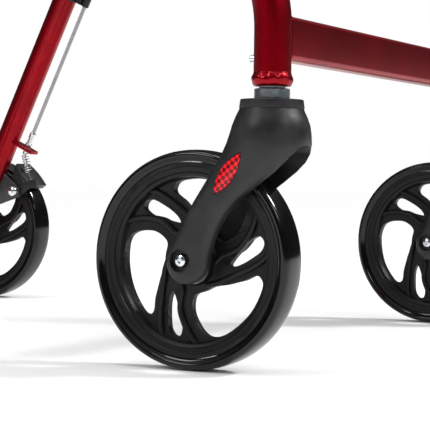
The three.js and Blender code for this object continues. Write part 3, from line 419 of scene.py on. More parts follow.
def tube(points, radius, bm=None, sides=9, cyclic=False):
    bm = bm or bmesh.new()
    mesh = tube_mesh(points, radius, sides, cyclic)
    bm.from_mesh(mesh)
    bpy.data.meshes.remove(mesh)
    return bm


def carve(obj, cutter_bm):
    """Cuts a bmesh's shape out of a piece and applies the cut."""
    bmesh.ops.remove_doubles(cutter_bm, verts=cutter_bm.verts, dist=1e-6)
    bmesh.ops.recalc_face_normals(cutter_bm, faces=cutter_bm.faces)
    mesh = bpy.data.meshes.new("cutter")
    cutter_bm.to_mesh(mesh)
    cutter_bm.free()
    cutter = bpy.data.objects.new("cutter", mesh)
    bpy.context.collection.objects.link(cutter)
    cut = obj.modifiers.new("cut", "BOOLEAN")
    cut.operation = "DIFFERENCE"
    cut.solver = "EXACT"
    cut.object = cutter
    settle(obj)
    bpy.data.objects.remove(cutter)
    bpy.data.meshes.remove(mesh)


def drill(obj, a, b, radius, steps=32, sides=None):
    """Cuts a hole from a to b; radius in mm."""
    carve(obj, rod(a, b, radius, chamfer=0.01, steps=steps, sides=sides))


def settle(obj):
    """Applies a piece's modifiers to its mesh."""
    graph = bpy.context.evaluated_depsgraph_get()
    new = bpy.data.meshes.new_from_object(obj.evaluated_get(graph))
    obj.modifiers.clear()
    old = obj.data
    obj.data = new
    bpy.data.meshes.remove(old)


def ease(obj, width, segments=2, angle=35, sharp=40):
    """Rounds a piece's hard edges."""
    bevel = obj.modifiers.new("ease", "BEVEL")
    bevel.width = width * MM
    bevel.segments = segments
    bevel.limit_method = "ANGLE"
    bevel.angle_limit = math.radians(angle)
    bevel.harden_normals = False
    settle(obj)
    for face in obj.data.polygons:
        face.use_smooth = True
    obj.data.set_sharp_from_angle(angle=math.radians(sharp))


# ---------------------------------------------------------------- wheels
SPOKES = 3
RIB_CENTRE = 5
SLOT = [(34.5, 66), (40, 66), (47, 62), (56, 56.5), (65, 51.5), (69.5, 46), (66.5, 40.5), (57, 41),
        (47, 47.5),
        (39.5, 55)]
WINDOW = [(30, -12), (28.7, 8), (30, 27), (37, 32), (46, 31), (55, 26), (63, 21), (68.5, 14), (70.3, 0),
          (70.3, -22),
          (69.8, -42), (65.5, -48.5), (60, -49), (52, -42.5), (45, -36.5), (37, -26)]
RIB_LEAD = [(25, 118), (29, 102), (34, 89), (43, 75.5), (56, 65), (68, 57.5), (78, 50)]
RIB_TRAIL = [(22.5, 62), (29, 51), (36.5, 49), (47, 44.5), (60, 35.5), (70, 28), (78, 22)]


def polar(hub, radius, degrees, x=0.0):
    angle = math.radians(degrees)
    return Vector((hub.x + x * MM, hub.y + radius * MM * math.cos(angle),
                   hub.z + radius * MM * math.sin(angle)))


def between(p0, p1, p2, p3, t):
    """Catmull-Rom curve from p1 to p2."""
    return 0.5 * (2 * p1 + (p2 - p0) * t + (2 * p0 - 5 * p1 + 4 * p2 - p3) * t * t
                  + (3 * p1 - p0 - 3 * p2 + p3) * t ** 3)


def smooth_loop(points, per=5):
    """Catmull-Rom loop through side-view points."""
    out = []
    n = len(points)
    for i in range(n):
        p0, p1, p2, p3 = (points[(i + k) % n] for k in (-1, 0, 1, 2))
        for k in range(per):
            out.append(between(p0, p1, p2, p3, k / per))
    return out


def smooth_run(points, per=8):
    """Catmull-Rom run through points, ends included."""
    padded = [points[0] * 2 - points[1], *points, points[-1] * 2 - points[-2]]
    out = []
    for i in range(1, len(padded) - 2):
        p0, p1, p2, p3 = padded[i - 1:i + 3]
        for k in range(per):
            out.append(between(p0, p1, p2, p3, k / per))
    return [*out, points[-1]]


def wheel(kind, hand, body):
    hub = middle(f"{kind}_tyre_{hand}")
    half_hub = (high(f"{kind}_rim_{hand}").x - low(f"{kind}_rim_{hand}").x) / 2 / MM
    half = [(5.1, half_hub), (9.5, half_hub), (11, half_hub - 1), (11.6, 14.5), (17.5, 13.4), (20.5, 11),
            (20.8, 6), (22.5, 4), (26, 3.5), (66, 3.5), (70.3, 4.2), (71.8, 6.5), (72.4, 9.2), (74.6, 9.8),
            (75.4, 10.4), (76, 11.6), (79, 12), (80, 12.2), (80.6, 13), (84.2, 13)]
    profile = [(r, -d) for r, d in half] + [(r, d) for r, d in reversed(half)]
    rim = keep(f"{kind}_wheel_web_{hand}", spun(profile, (1, 0, 0), hub, 96), RIM_PLASTIC, body,
               f"{kind}_rim_{hand}", slot="black_plastic")
    for i in range(SPOKES):
        for shape in (SLOT, WINDOW):
            loop = smooth_loop([polar(hub, r, a + i * 120) for r, a in shape])
            carve(rim, extruded([(p.y, p.z) for p in loop], hub.x - 0.02, hub.x + 0.02))
    ease(rim, 1.3, 2, 50)
    ribs = bmesh.new()
    for i in range(SPOKES):
        for path in (RIB_LEAD, RIB_TRAIL):
            for face in (-1, 1):
                route = smooth_run([polar(hub, r, a + i * 120, face * RIB_CENTRE) for r, a in path], 5)
                tube(route, 2.6, ribs, sides=4)
    keep(f"{kind}_wheel_ribs_{hand}", ribs, RIM_PLASTIC, body, slot="black_plastic")
    tread = [(84.8, 13), (87.4, 13.6), (88.2, 15), (89.4, 15.7), (91, 15.8), (92.6, 15.1), (93.8, 13.2),
             (94.5, 10), (94.85, 6), (95, 2)]
    section = [(r, -d) for r, d in tread] + [(r, d) for r, d in reversed(tread)]
    keep(f"{kind}_wheel_tyre_{hand}", spun(section, (1, 0, 0), hub, 128), TYRE, body,
         f"{kind}_tyre_{hand}", sharp=50, slot="tyre")


# ---------------------------------------------------------------- casters
# The front axle, in mm behind the stem's line and above the floor.
AXLE_TRAIL, AXLE_Z = 70.5, 95
# Each level of the fork: height, front, back, half width, squareness (2 is round).
FORK_LEVELS = [
    (224.5, -27.2, 27.2, 27.2, 2), (222, -28, 28.4, 28, 2), (217.5, -30.2, 30.6, 30.2, 2),
    (210.5, -32.8, 33.4, 32.6, 2), (203, -33.8, 35.6, 33.2, 2.05), (195, -33.8, 38, 33, 2.2),
    (187, -31.6, 41, 32, 2.5), (180, -27, 44, 31.2, 2.8), (172, -17.8, 48, 30.6, 3.2),
    (163, -5, 53, 30.3, 3.6),
    (154, 8, 58, 30, 4), (146, 18, 62.5, 30, 4.4), (136, 27.5, 68, 30, 4.8), (125, 34.5, 73.5, 30, 5),
    (114, 39.5, 79.5, 30, 5), (105, 42.5, 84.5, 30, 5), (97, 44.3, 87, 30, 5), (90, 45, 87, 30, 5),
    (84, 47, 84.6, 30, 5), (79, 51, 80.5, 29.8, 5), (75.6, 57, 75.5, 29, 4),
]


def superellipse(z, front, back, half, power, x, count=48):
    """One level's ring of points."""
    ring = []
    for i in range(count):
        a = 2 * math.pi * i / count
        c, s = math.cos(a), math.sin(a)
        px = math.copysign(abs(c) ** (2 / power), c) * half
        py = math.copysign(abs(s) ** (2 / power), s) * (back - front) / 2 + (back + front) / 2
        ring.append(spot(x + px * MM, py, z))
    return ring


def fork_body(hand, side):
    x = side * HALF_TRACK
    bm = bmesh.new()
    loops = []
    for level in FORK_LEVELS:
        ring = bmesh.ops.create_circle(bm, segments=48, radius=1)["verts"]
        for vert, place in zip(ring, superellipse(*level, x)):
            vert.co = place
        loops.append(ring)
    for upper, lower in zip(loops, loops[1:]):
        pair = [e for ring in (upper, lower) for v in ring for e in v.link_edges
                if e.other_vert(v) in ring]
        bmesh.ops.bridge_loops(bm, edges=list(set(pair)))
    bm.faces.new(loops[0])
    bm.faces.new(loops[-1])
    fork = keep(f"caster_fork_{hand}", bm, FORK_PLASTIC, f"caster_{hand}", f"fork_{hand}", sharp=40,
                slot="grey_plastic")
    # The wheel well: straight sides under a round top.
    half, top, corner = 20.5, 194, 19.5
    arch = [(-half, 40), (half, 40)]
    for k in range(7):
        a = math.pi / 2 * k / 6
        arch.append((half - corner + corner * math.cos(a), top - corner + corner * math.sin(a)))
    for k in range(7):
        a = math.pi / 2 * (1 + k / 6)
        arch.append((-half + corner + corner * math.cos(a), top - corner + corner * math.sin(a)))
    well = bmesh.new()
    face = well.faces.new([well.verts.new(spot(x + px * MM, -70, z)) for px, z in arch])
    moved = bmesh.ops.extrude_face_region(well, geom=[face])
    bmesh.ops.translate(well, verts=[v for v in moved["geom"] if isinstance(v, bmesh.types.BMVert)],
                        vec=(0, 0.25, 0))
    carve(fork, well)
    axle = spot(x, AXLE_TRAIL, AXLE_Z)
    for s in (-1, 1):
        face_x = axle + Vector((s * 30 * MM, 0, 0))
        drill(fork, face_x - Vector((s * 6 * MM, 0, 0)), face_x + Vector((s * 9 * MM, 0, 0)), 9.75)
    drill(fork, axle - Vector((0.04, 0, 0)), axle + Vector((0.04, 0, 0)), 5.3)
    drill(fork, spot(x, 0, 180), spot(x, 0, 240), 6.2)
    drill(fork, spot(x, 0, 180), spot(x, 0, 204), 13)
    pocket = lens_outline(1.07)
    outer = x + side * 29.2 * MM
    carve(fork, extruded(pocket, outer, outer + side * 9 * MM))
    ease(fork, 1.2, 3, 40)


LENS_AT = (25.5, 169.5)
LENS_TILT = math.radians(36)


def lens_outline(grow=1.0, length=42.0, width=13.4, count=12):
    """A pointed oval: two arcs that meet at the ends."""
    half, rise = length / 2 * grow, width / 2 * grow
    radius = (half * half + rise * rise) / (2 * rise)
    swing = math.asin(half / radius)
    points = []
    for flank in (1, -1):
        for k in range(count):
            a = swing * (1 - 2 * k / count)
            along = radius * math.sin(a) * flank
            across = (radius * math.cos(a) - (radius - rise)) * flank
            y = LENS_AT[0] - math.sin(LENS_TILT) * along + math.cos(LENS_TILT) * across
            z = LENS_AT[1] + math.cos(LENS_TILT) * along + math.sin(LENS_TILT) * across
            points.append((STEM_Y + y * MM, z * MM))
    return points


def caster(hand, side):
    x = side * HALF_TRACK
    body = f"caster_{hand}"
    fork_body(hand, side)
    face = x + side * 29.3 * MM
    lens = extruded(lens_outline(), face, face + side * 2.0 * MM, bevel=0.7)
    keep(f"fork_reflector_{hand}", lens, LENS, body, f"reflector_{hand}", slot="red_lens")
    z = low(f"fork_cap_{hand}").z / MM
    cap = [(6.1, 0), (27.5, 0), (27.6, 0.5), (26.7, 7), (26.3, 7.4), (24, 7.4), (22.5, 6.9), (9, 6.9),
           (6.1, 7.2)]
    keep(f"dust_cap_{hand}", spun(cap, UP, spot(x, 0, z), 72), FORK_PLASTIC, body, f"fork_cap_{hand}",
         slot="black_plastic")
    axle = spot(x, AXLE_TRAIL, AXLE_Z)
    bolt = rod(axle - Vector((0.0243, 0, 0)), axle + Vector((0.0243, 0, 0)), 5)
    for s in (-1, 1):
        base = axle + Vector((s * 24.3 * MM, 0, 0))
        dome = [(0, 5), (2.6, 4.8), (4.7, 3.9), (5.8, 2.2), (6, 0.8), (6, 0), (0, 0)]
        bolt = spun(dome, (s, 0, 0), base, 40, bolt)
    head = keep(f"axle_bolt_{hand}", bolt, BOLT_ZINC, body, f"front_axle_{hand}", slot="zinc")
    for s in (-1, 1):
        base = axle + Vector((s * 27.2 * MM, 0, 0))
        drill(head, base, base + Vector((s * 6 * MM, 0, 0)), 2.5, sides=6)


# ---------------------------------------------------------------- front frame
LEAN = math.radians(34)
UPRIGHT_AIM = Vector((0, math.sin(LEAN), math.cos(LEAN)))
UPRIGHT_R = 15.9
UPRIGHT_BEND = 120
UPRIGHT_CORNER_Z = 291 + UPRIGHT_BEND * math.tan(LEAN / 2)
MOUTH_Z = 820
KNOB_LOBES = 3


def upright_route(x):
    corner = UPRIGHT_CORNER_Z
    top = high("upright_left").z / MM - 8.5
    return rounded_route(
        [spot(x, 0, UPRIGHT_FOOT / MM + 2), spot(x, 0, corner),
         spot(x, (top - corner) * math.tan(LEAN), top)],
        [0, UPRIGHT_BEND, 0])


def upright_at(z):
    return (z - UPRIGHT_CORNER_Z) * math.tan(LEAN)


def upright(hand, side):
    x = side * HALF_TRACK
    foot = UPRIGHT_FOOT / MM
    names = (f"upright_{hand}",)
    tube_bm = tube(upright_route(x), UPRIGHT_R, sides=12)
    piece = keep(f"front_upright_{hand}", tube_bm, RED, "front_frame", *names, slot="red_paint")
    mouth = spot(x, upright_at(MOUTH_Z), MOUTH_Z)
    drill(piece, mouth - UPRIGHT_AIM * 0.12, mouth + UPRIGHT_AIM * 0.02, 13.0)
    # Weld at the foot: a flared, uneven bead over a short sleeve.
    bead = spun([(11.4, -1.4), (14.6, -1.4), (15.9, -0.8), (16.8, 1), (17.4, 3.4), (17.6, 5.6), (17.2, 7.2),
                 (16.5, 8.4), (15.9, 10.5), (11.4, 10.5)], UP, spot(x, 0, foot), 128)
    for vert in bead.verts:
        height = vert.co.z / MM - foot
        out = Vector((vert.co.x - x, vert.co.y - STEM_Y, 0))
        if out.length > 16.0 * MM and height > 2:
            ripple = noise.noise(vert.co * 180) * 0.9 + noise.noise(vert.co * 520) * 0.5
            vert.co += out.normalized() * ripple * MM
    keep(f"foot_weld_{hand}", bead, RED, "front_frame", *names, sharp=80, slot="red_paint")
    inner = x - side * 14 * MM
    fold_pin = rod(Vector((inner, FOLD.y, FOLD.z)),
                   Vector((side * (LEG_X - (LEG_R + 2) * MM), FOLD.y, FOLD.z)), 8)
    rod(Vector((inner, BACK_HINGE.y, BACK_HINGE.z)),
        Vector((side * (LEG_X - (LEG_R - 1) * MM), BACK_HINGE.y, BACK_HINGE.z)), 5, fold_pin)
    keep(f"frame_pins_{hand}", fold_pin, RED, "front_frame", *names, slot="red_paint")
    # Stop plate and peg behind the rear leg.
    off, down = LEG_R + 5.3, 46
    py = (FOLD.y - STEM_Y) / MM + down * math.sin(TOP_LEAN) + off * math.cos(TOP_LEAN)
    pz = FOLD.z / MM - down * math.cos(TOP_LEAN) + off * math.sin(TOP_LEAN)
    plate = [(upright_at(pz) + 2, pz - 12), (py + 4, pz - 5), (py + 4, pz + 5), (upright_at(pz) + 2, pz + 12)]
    stop = extruded([(STEM_Y + y * MM, z * MM) for y, z in plate], x - side * 6 * MM, x, bevel=0.8)
    rod(spot(x - side * 4 * MM, py, pz), spot(side * (LEG_X - 2 * MM), py, pz), 5, stop)
    keep(f"fold_stop_{hand}", stop, RED, "front_frame", *names, slot="red_paint")
    # Stem hardware between the fork and the frame.
    z = low(f"stem_nut_{hand}").z / MM
    nut = rod(spot(x, 0, z), spot(x, 0, z + 9.1), 15.3, sides=6, chamfer=0.9)
    nut = spun([(6.3, 8.8), (10.4, 8.8), (11, 9.4), (11, 11.1), (10.4, 11.7), (6.3, 11.7)], UP,
               spot(x, 0, z), 48, nut)
    keep(f"lock_nut_{hand}", nut, ZINC, "front_frame", f"stem_nut_{hand}", slot="zinc")
    # Screw at the back of the upright, below the bend.
    screw = rod(spot(x, 13, 267), spot(x, 21, 267), 3.2)
    keep(f"frame_screw_{hand}", screw, BOLT_ZINC, "front_frame", slot="zinc")
    knob = middle(f"height_knob_{hand}")
    start = knob.copy()
    start.x = x + side * (UPRIGHT_R + 3) * MM
    lobes = spun([(0, 0), (9, 0), (10.5, 1), (11, 12), (9, 14), (0, 14.6)], (side, 0, 0), start, 40)
    for i in range(KNOB_LOBES):
        a = 2 * math.pi * i / KNOB_LOBES
        lobe = start + Vector((0, 10.5 * MM * math.cos(a), 10.5 * MM * math.sin(a)))
        spun([(0, 1), (5.4, 1), (6.4, 2), (6.5, 11), (5, 13), (0, 13.4)], (side, 0, 0), lobe, 28, lobes)
    rod(Vector((x + side * 13.1 * MM, knob.y, knob.z)), start, 4, lobes)
    keep(f"star_knob_{hand}", lobes, SMALL_PLASTIC, f"knob_{hand}", f"height_knob_{hand}",
         slot="black_plastic")


def box_tube():
    lo, hi = low("lower_crossbar"), high("lower_crossbar")
    reach = HALF_TRACK - 15.6 * MM
    yc, zc = (lo.y + hi.y) / 2, (lo.z + hi.z) / 2
    hy, hz = (hi.y - lo.y) / 2, (hi.z - lo.z) / 2
    corner = 5 * MM
    outline = []
    for cy, cz, start in ((1, -1, -90), (1, 1, 0), (-1, 1, 90), (-1, -1, 180)):
        for k in range(7):
            a = math.radians(start + 15 * k)
            outline.append((yc + cy * (hy - corner) + corner * math.cos(a),
                            zc + cz * (hz - corner) + corner * math.sin(a)))
    bar = extruded(outline, -reach, reach)
    keep("front_cross_tube", bar, RED, "front_frame", "lower_crossbar", slot="red_paint")
    for side in (-1, 1):
        bead = []
        for y, z in outline:
            bead.append(Vector((side * (reach - 0.4 * MM), yc + (y - yc) * 1.02, zc + (z - zc) * 1.01)))
        weld = tube(bead, 1.3, sides=3, cyclic=True)
        keep(f"cross_tube_weld_{side + 1}", weld, RED, "front_frame", slot="red_paint")


# ---------------------------------------------------------------- rear frame
LOW_LEAN = math.radians(25.5)
TOP_LEAN = math.radians(41)
LEG_R = 15
CABLE_OFF = 30
STOP_Z = 217
WIRE_OUT = 4.5
LEG_BEND = 150
LEG_CORNER_Z = 480 + LEG_BEND * math.tan((TOP_LEAN - LOW_LEAN) / 2)
LEG_UP = Vector((0, -math.sin(LOW_LEAN), math.cos(LOW_LEAN)))
AXLE_BACK = (REAR_AXLE_Y - STEM_Y) / MM
SHOE_BOLT = (AXLE_BACK - 67, WHEEL_R / MM + 51)


def leg_low(z):
    return AXLE_BACK - (z - WHEEL_R / MM) * math.tan(LOW_LEAN)


def leg_high(z):
    return leg_low(LEG_CORNER_Z) - (z - LEG_CORNER_Z) * math.tan(TOP_LEAN)


def before_leg(z, off):
    return leg_low(z) - math.cos(LOW_LEAN) * off, z - math.sin(LOW_LEAN) * off


def rear_leg(hand, side):
    x = side * LEG_X
    body = "rear_frame"
    node = f"rear_leg_{hand}"
    foot = WHEEL_R / MM - 24 * math.cos(LOW_LEAN)
    eye = FOLD.z / MM + 17 * math.cos(TOP_LEAN)
    route = rounded_route([spot(x, leg_low(foot), foot), spot(x, leg_low(LEG_CORNER_Z), LEG_CORNER_Z),
                           spot(x, leg_high(eye), eye)], [0, LEG_BEND, 0])
    leg = keep(f"back_leg_{hand}", tube(route, LEG_R, sides=12), RED, body, node, slot="red_paint")
    drill(leg, Vector((x - 0.03, FOLD.y, FOLD.z)), Vector((x + 0.03, FOLD.y, FOLD.z)), 8.3)
    cap = [(0, -4), (12.5, -4), (14.8, -2.5), (15.4, 0), (15.4, 5), (15.1, 5.4), (0, 5.4)]
    keep(f"leg_end_cap_{hand}", spun(cap, LEG_UP, spot(x, leg_low(foot), foot), 40), SMALL_PLASTIC, body,
         slot="black_plastic")
    # Cable stop: a welded tab with the adjuster through it.
    def at(off, rise):
        y, z = before_leg(STOP_Z, off)
        return STEM_Y + (y - math.sin(LOW_LEAN) * rise) * MM, (z + math.cos(LOW_LEAN) * rise) * MM
    tab = extruded([at(14, -2), at(46, -2), at(46, 2), at(14, 2)], x - 9 * MM, x + 9 * MM, bevel=0.9)
    keep(f"cable_stop_{hand}", tab, RED, body, node, slot="red_paint")
    cy, cz = before_leg(STOP_Z, CABLE_OFF)
    wire = side * (LEG_X + WIRE_OUT * MM)
    centre = spot(wire, cy, cz)
    barrel = spun([(1.4, 2.1), (4.4, 2.1), (4.6, 2.8), (4.6, 6.2), (3.2, 7), (3.2, 14), (4.0, 14.6),
                   (4.0, 21),
                   (2.9, 22.4), (1.4, 22.4)], LEG_UP, centre, 24)
    spun([(1.4, -9), (3.4, -9), (3.4, -2.1), (1.4, -2.1)], LEG_UP, centre, 24, barrel)
    keep(f"cable_adjuster_{hand}", barrel, BOLT_ZINC, body, slot="zinc")
    # Shoe bracket and its bolt.
    py, pz = SHOE_BOLT
    bolt_x = side * (LEG_X + WIRE_OUT * MM)
    inner = bolt_x - side * 6.3 * MM
    ty, tz = before_leg(176, LEG_R - 2)
    fy, fz = before_leg(128, LEG_R - 2)
    bracket = [(py - 9, pz - 5), (py - 3, pz - 9.5), (fy, fz), (ty, tz), (py - 4, pz + 9), (py - 9, pz + 4)]
    plate = extruded([(STEM_Y + y * MM, z * MM) for y, z in bracket], inner, inner + side * 4 * MM, bevel=0.6)
    keep(f"shoe_bracket_{hand}", plate, BLACK_COAT, body, f"brake_bracket_{hand}", slot="black_plastic")
    low_x, high_x = bolt_x - side * 6.6 * MM, bolt_x + side * 2.3 * MM
    bolt = rod(spot(low_x, py, pz), spot(high_x, py, pz), 4)
    spun([(0, 4.6), (4, 4.2), (6.4, 2.6), (7, 0.8), (7, 0), (0, 0)], (-side, 0, 0), spot(low_x, py, pz), 32,
         bolt)
    rod(spot(high_x, py, pz), spot(high_x + side * 4 * MM, py, pz), 7, bolt, sides=6)
    keep(f"shoe_bolt_{hand}", bolt, BOLT_ZINC, body, f"brake_bolt_{hand}", slot="zinc")
    # Rear axle with its spacer and nut.
    axle = Vector((side * HALF_TRACK, REAR_AXLE_Y, WHEEL_R))
    out = Vector((side, 0, 0)) * MM
    pin = rod(axle - out * 48, axle + out * 16.5, 5)
    spun([(0, 5.8), (4, 5.4), (7, 3.4), (8, 1), (8, 0), (0, 0)], out, axle + out * 16.5, 36, pin)
    rod(axle - out * 54.3, axle - out * 48.3, 8, pin, sides=6)
    rod(axle - out * 17.7, axle - out * 14.4, 8, pin)
    keep(f"back_axle_{hand}", pin, BOLT_ZINC, body, f"rear_axle_{hand}", slot="zinc")


def cable_band(hand, side):
    """Nylon clip: a band round the leg with a small saddle that holds the cable."""
    x = side * LEG_X
    z = LEG_CORNER_Z - 92
    centre = spot(x, leg_low(z), z)
    band = spun([(LEG_R + 0.3, -7), (17, -7), (17.4, -6.4), (17.4, 6.4), (17, 7), (LEG_R + 0.3, 7)], LEG_UP,
                centre, 56)
    cy, cz = before_leg(z, CABLE_OFF)
    wire = spot(side * (LEG_X + WIRE_OUT * MM), cy, cz)
    spun([(2.8, -7), (4.4, -7), (4.9, -6.4), (4.9, 6.4), (4.4, 7), (2.8, 7)], LEG_UP, wire, 28,
         band)
    gap = wire - centre
    near, far = centre + gap * 0.54, centre + gap * 0.87
    neck = bmesh.ops.create_cube(band, size=1)["verts"]
    bmesh.ops.scale(band, verts=neck, vec=(10 * MM, (far - near).length, 13 * MM))
    turn = Matrix.Rotation(LOW_LEAN, 3, "X")
    bmesh.ops.rotate(band, verts=neck, cent=(0, 0, 0), matrix=turn)
    bmesh.ops.translate(band, verts=neck, vec=(near + far) / 2)
    keep(f"cable_band_{hand}", band, SMALL_PLASTIC, "rear_frame", f"cable_clip_{hand}", slot="black_plastic")


def brake_shoe(hand, side):
    """Arm that turns on the shoe bolt, with a block that follows the tread."""
    bolt_x = side * (LEG_X + WIRE_OUT * MM)
    outline = [(-4, -9), (3, -9.5), (9, -3), (1, 34), (-4, 34), (-15, 12), (-32, 17), (-33, 8), (-23, 4)]
    bolt_y, bolt_z = SHOE_BOLT
    drawn = [(STEM_Y + (bolt_y + y) * MM, (bolt_z + z) * MM) for y, z in outline]
    arm = extruded(drawn, bolt_x - side * 2 * MM, bolt_x + side * 2 * MM, bevel=0.5)
    leg_side = side * (LEG_X + (LEG_R + 1) * MM)

    def block(a0, a1, x0, x1):
        arc = [math.radians(a0 + (a1 - a0) * k / 8) for k in range(9)]
        r0, r1 = WHEEL_R + 3.2 * MM, WHEEL_R + 11.5 * MM
        ring = [(REAR_AXLE_Y + r0 * math.cos(a), WHEEL_R + r0 * math.sin(a)) for a in arc]
        ring += [(REAR_AXLE_Y + r1 * math.cos(a), WHEEL_R + r1 * math.sin(a)) for a in reversed(arc)]
        extruded(ring, x0, x1, arm, bevel=1.0)
    block(134, 146, bolt_x, leg_side + side * MM)
    block(124, 146, leg_side, side * (HALF_TRACK + 14 * MM))
    keep(f"brake_shoe_{hand}", arm, SMALL_PLASTIC, f"brake_arm_{hand}", f"brake_arm_{hand}",
         slot="black_plastic")


def lever_house(hand):
    """The lever housing's front edge and the handle bar's height, in mm."""
    hinge = pivot(f"lever_squeeze_{hand}")
    return (hinge.y - STEM_Y) / MM - 9, hinge.z / MM + 27


def cables(hand, side):
    wire = side * (LEG_X + WIRE_OUT * MM)
    near = side * (LEG_X - (LEG_R + 9) * MM)
    fold_y, fold_z = (FOLD.y - STEM_Y) / MM, FOLD.z / MM

    def on_low(z):
        return spot(wire, *before_leg(z, CABLE_OFF))

    def on_high(z, x, off):
        return spot(x, leg_high(z) - math.cos(TOP_LEAN) * off, z - math.sin(TOP_LEAN) * off)

    clip = spot(near, fold_y + 12, fold_z + 26)
    stop_y, stop_z = before_leg(STOP_Z, CABLE_OFF)
    lower = [clip, on_high(fold_z - 30, near, 0), on_high(fold_z - 66, near + side * 3 * MM, 14),
             on_high(fold_z - 104, side * (LEG_X - 5 * MM), 24), on_high(fold_z - 150, wire, CABLE_OFF),
             on_high(LEG_CORNER_Z + 60, wire, CABLE_OFF), on_low(LEG_CORNER_Z - 45),
             on_low(LEG_CORNER_Z - 80),
             on_low(LEG_CORNER_Z - 120), on_low((LEG_CORNER_Z + STOP_Z) / 2),
             spot(wire, stop_y - math.sin(LOW_LEAN) * 19, stop_z + math.cos(LOW_LEAN) * 19)]
    sheath = keep(f"lower_sheath_{hand}", tube(smooth_run(lower), 2.5, sides=5), SHEATH, None,
                  f"brake_cable_lower_{hand}", slot="cable")
    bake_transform(sheath)
    hy, hz = lever_house(hand)
    upper = [spot(side * (HALF_TRACK - 11 * MM), hy + 3, hz - 24),
             spot(side * (HALF_TRACK - 12 * MM), hy - 14, hz - 26),
             spot(side * (HALF_TRACK - 34 * MM), hy - 26, hz - 50),
             spot(side * (LEG_X - (LEG_R + 6) * MM), hy - 48, hz - 78),
             clip + Vector((0, 16 * MM, 30 * MM)), clip]
    run = keep(f"upper_sheath_{hand}", tube(smooth_run(upper), 2.5, sides=5), SHEATH, None,
               f"brake_cable_upper_{hand}", slot="cable")
    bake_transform(run)
    # Clip that joins the two runs beside the fold pivot.
    holder = spun([(2.6, -6), (4.6, -6), (5, -5), (5, 5), (4.6, 6), (2.6, 6)], (upper[4] - clip), clip, 28)
    keep(f"pivot_cable_clip_{hand}", holder, SMALL_PLASTIC, "front_frame", slot="black_plastic")
    # Spring and inner wire between the stop and the shoe's arm.
    top = spot(wire, stop_y, stop_z) - LEG_UP * 9 * MM
    end = spot(wire, AXLE_BACK - 88, WHEEL_R / MM + 77)
    axis = end - top
    across = Vector((1, 0, 0))
    other = axis.normalized().cross(across)
    turns, per = 7, 16
    coil = []
    for i in range(turns * per + 1):
        a = 2 * math.pi * i / per
        ring = across * math.cos(a) + other * math.sin(a)
        coil.append(top + axis * (i / (turns * per)) + ring * 4.3 * MM)
    spring = tube(coil, 0.75, sides=2)
    tube([top + LEG_UP * 8 * MM, top, end, spot(wire, AXLE_BACK - 92, WHEEL_R / MM + 64)], 0.9, spring,
         sides=2)
    piece = keep(f"shoe_spring_{hand}", spring, BOLT_ZINC, None, f"brake_spring_{hand}", slot="zinc")
    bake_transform(piece)


# ---------------------------------------------------------------- handles
HEIGHT_HOLES = 4
GRIP_LENGTH = 116


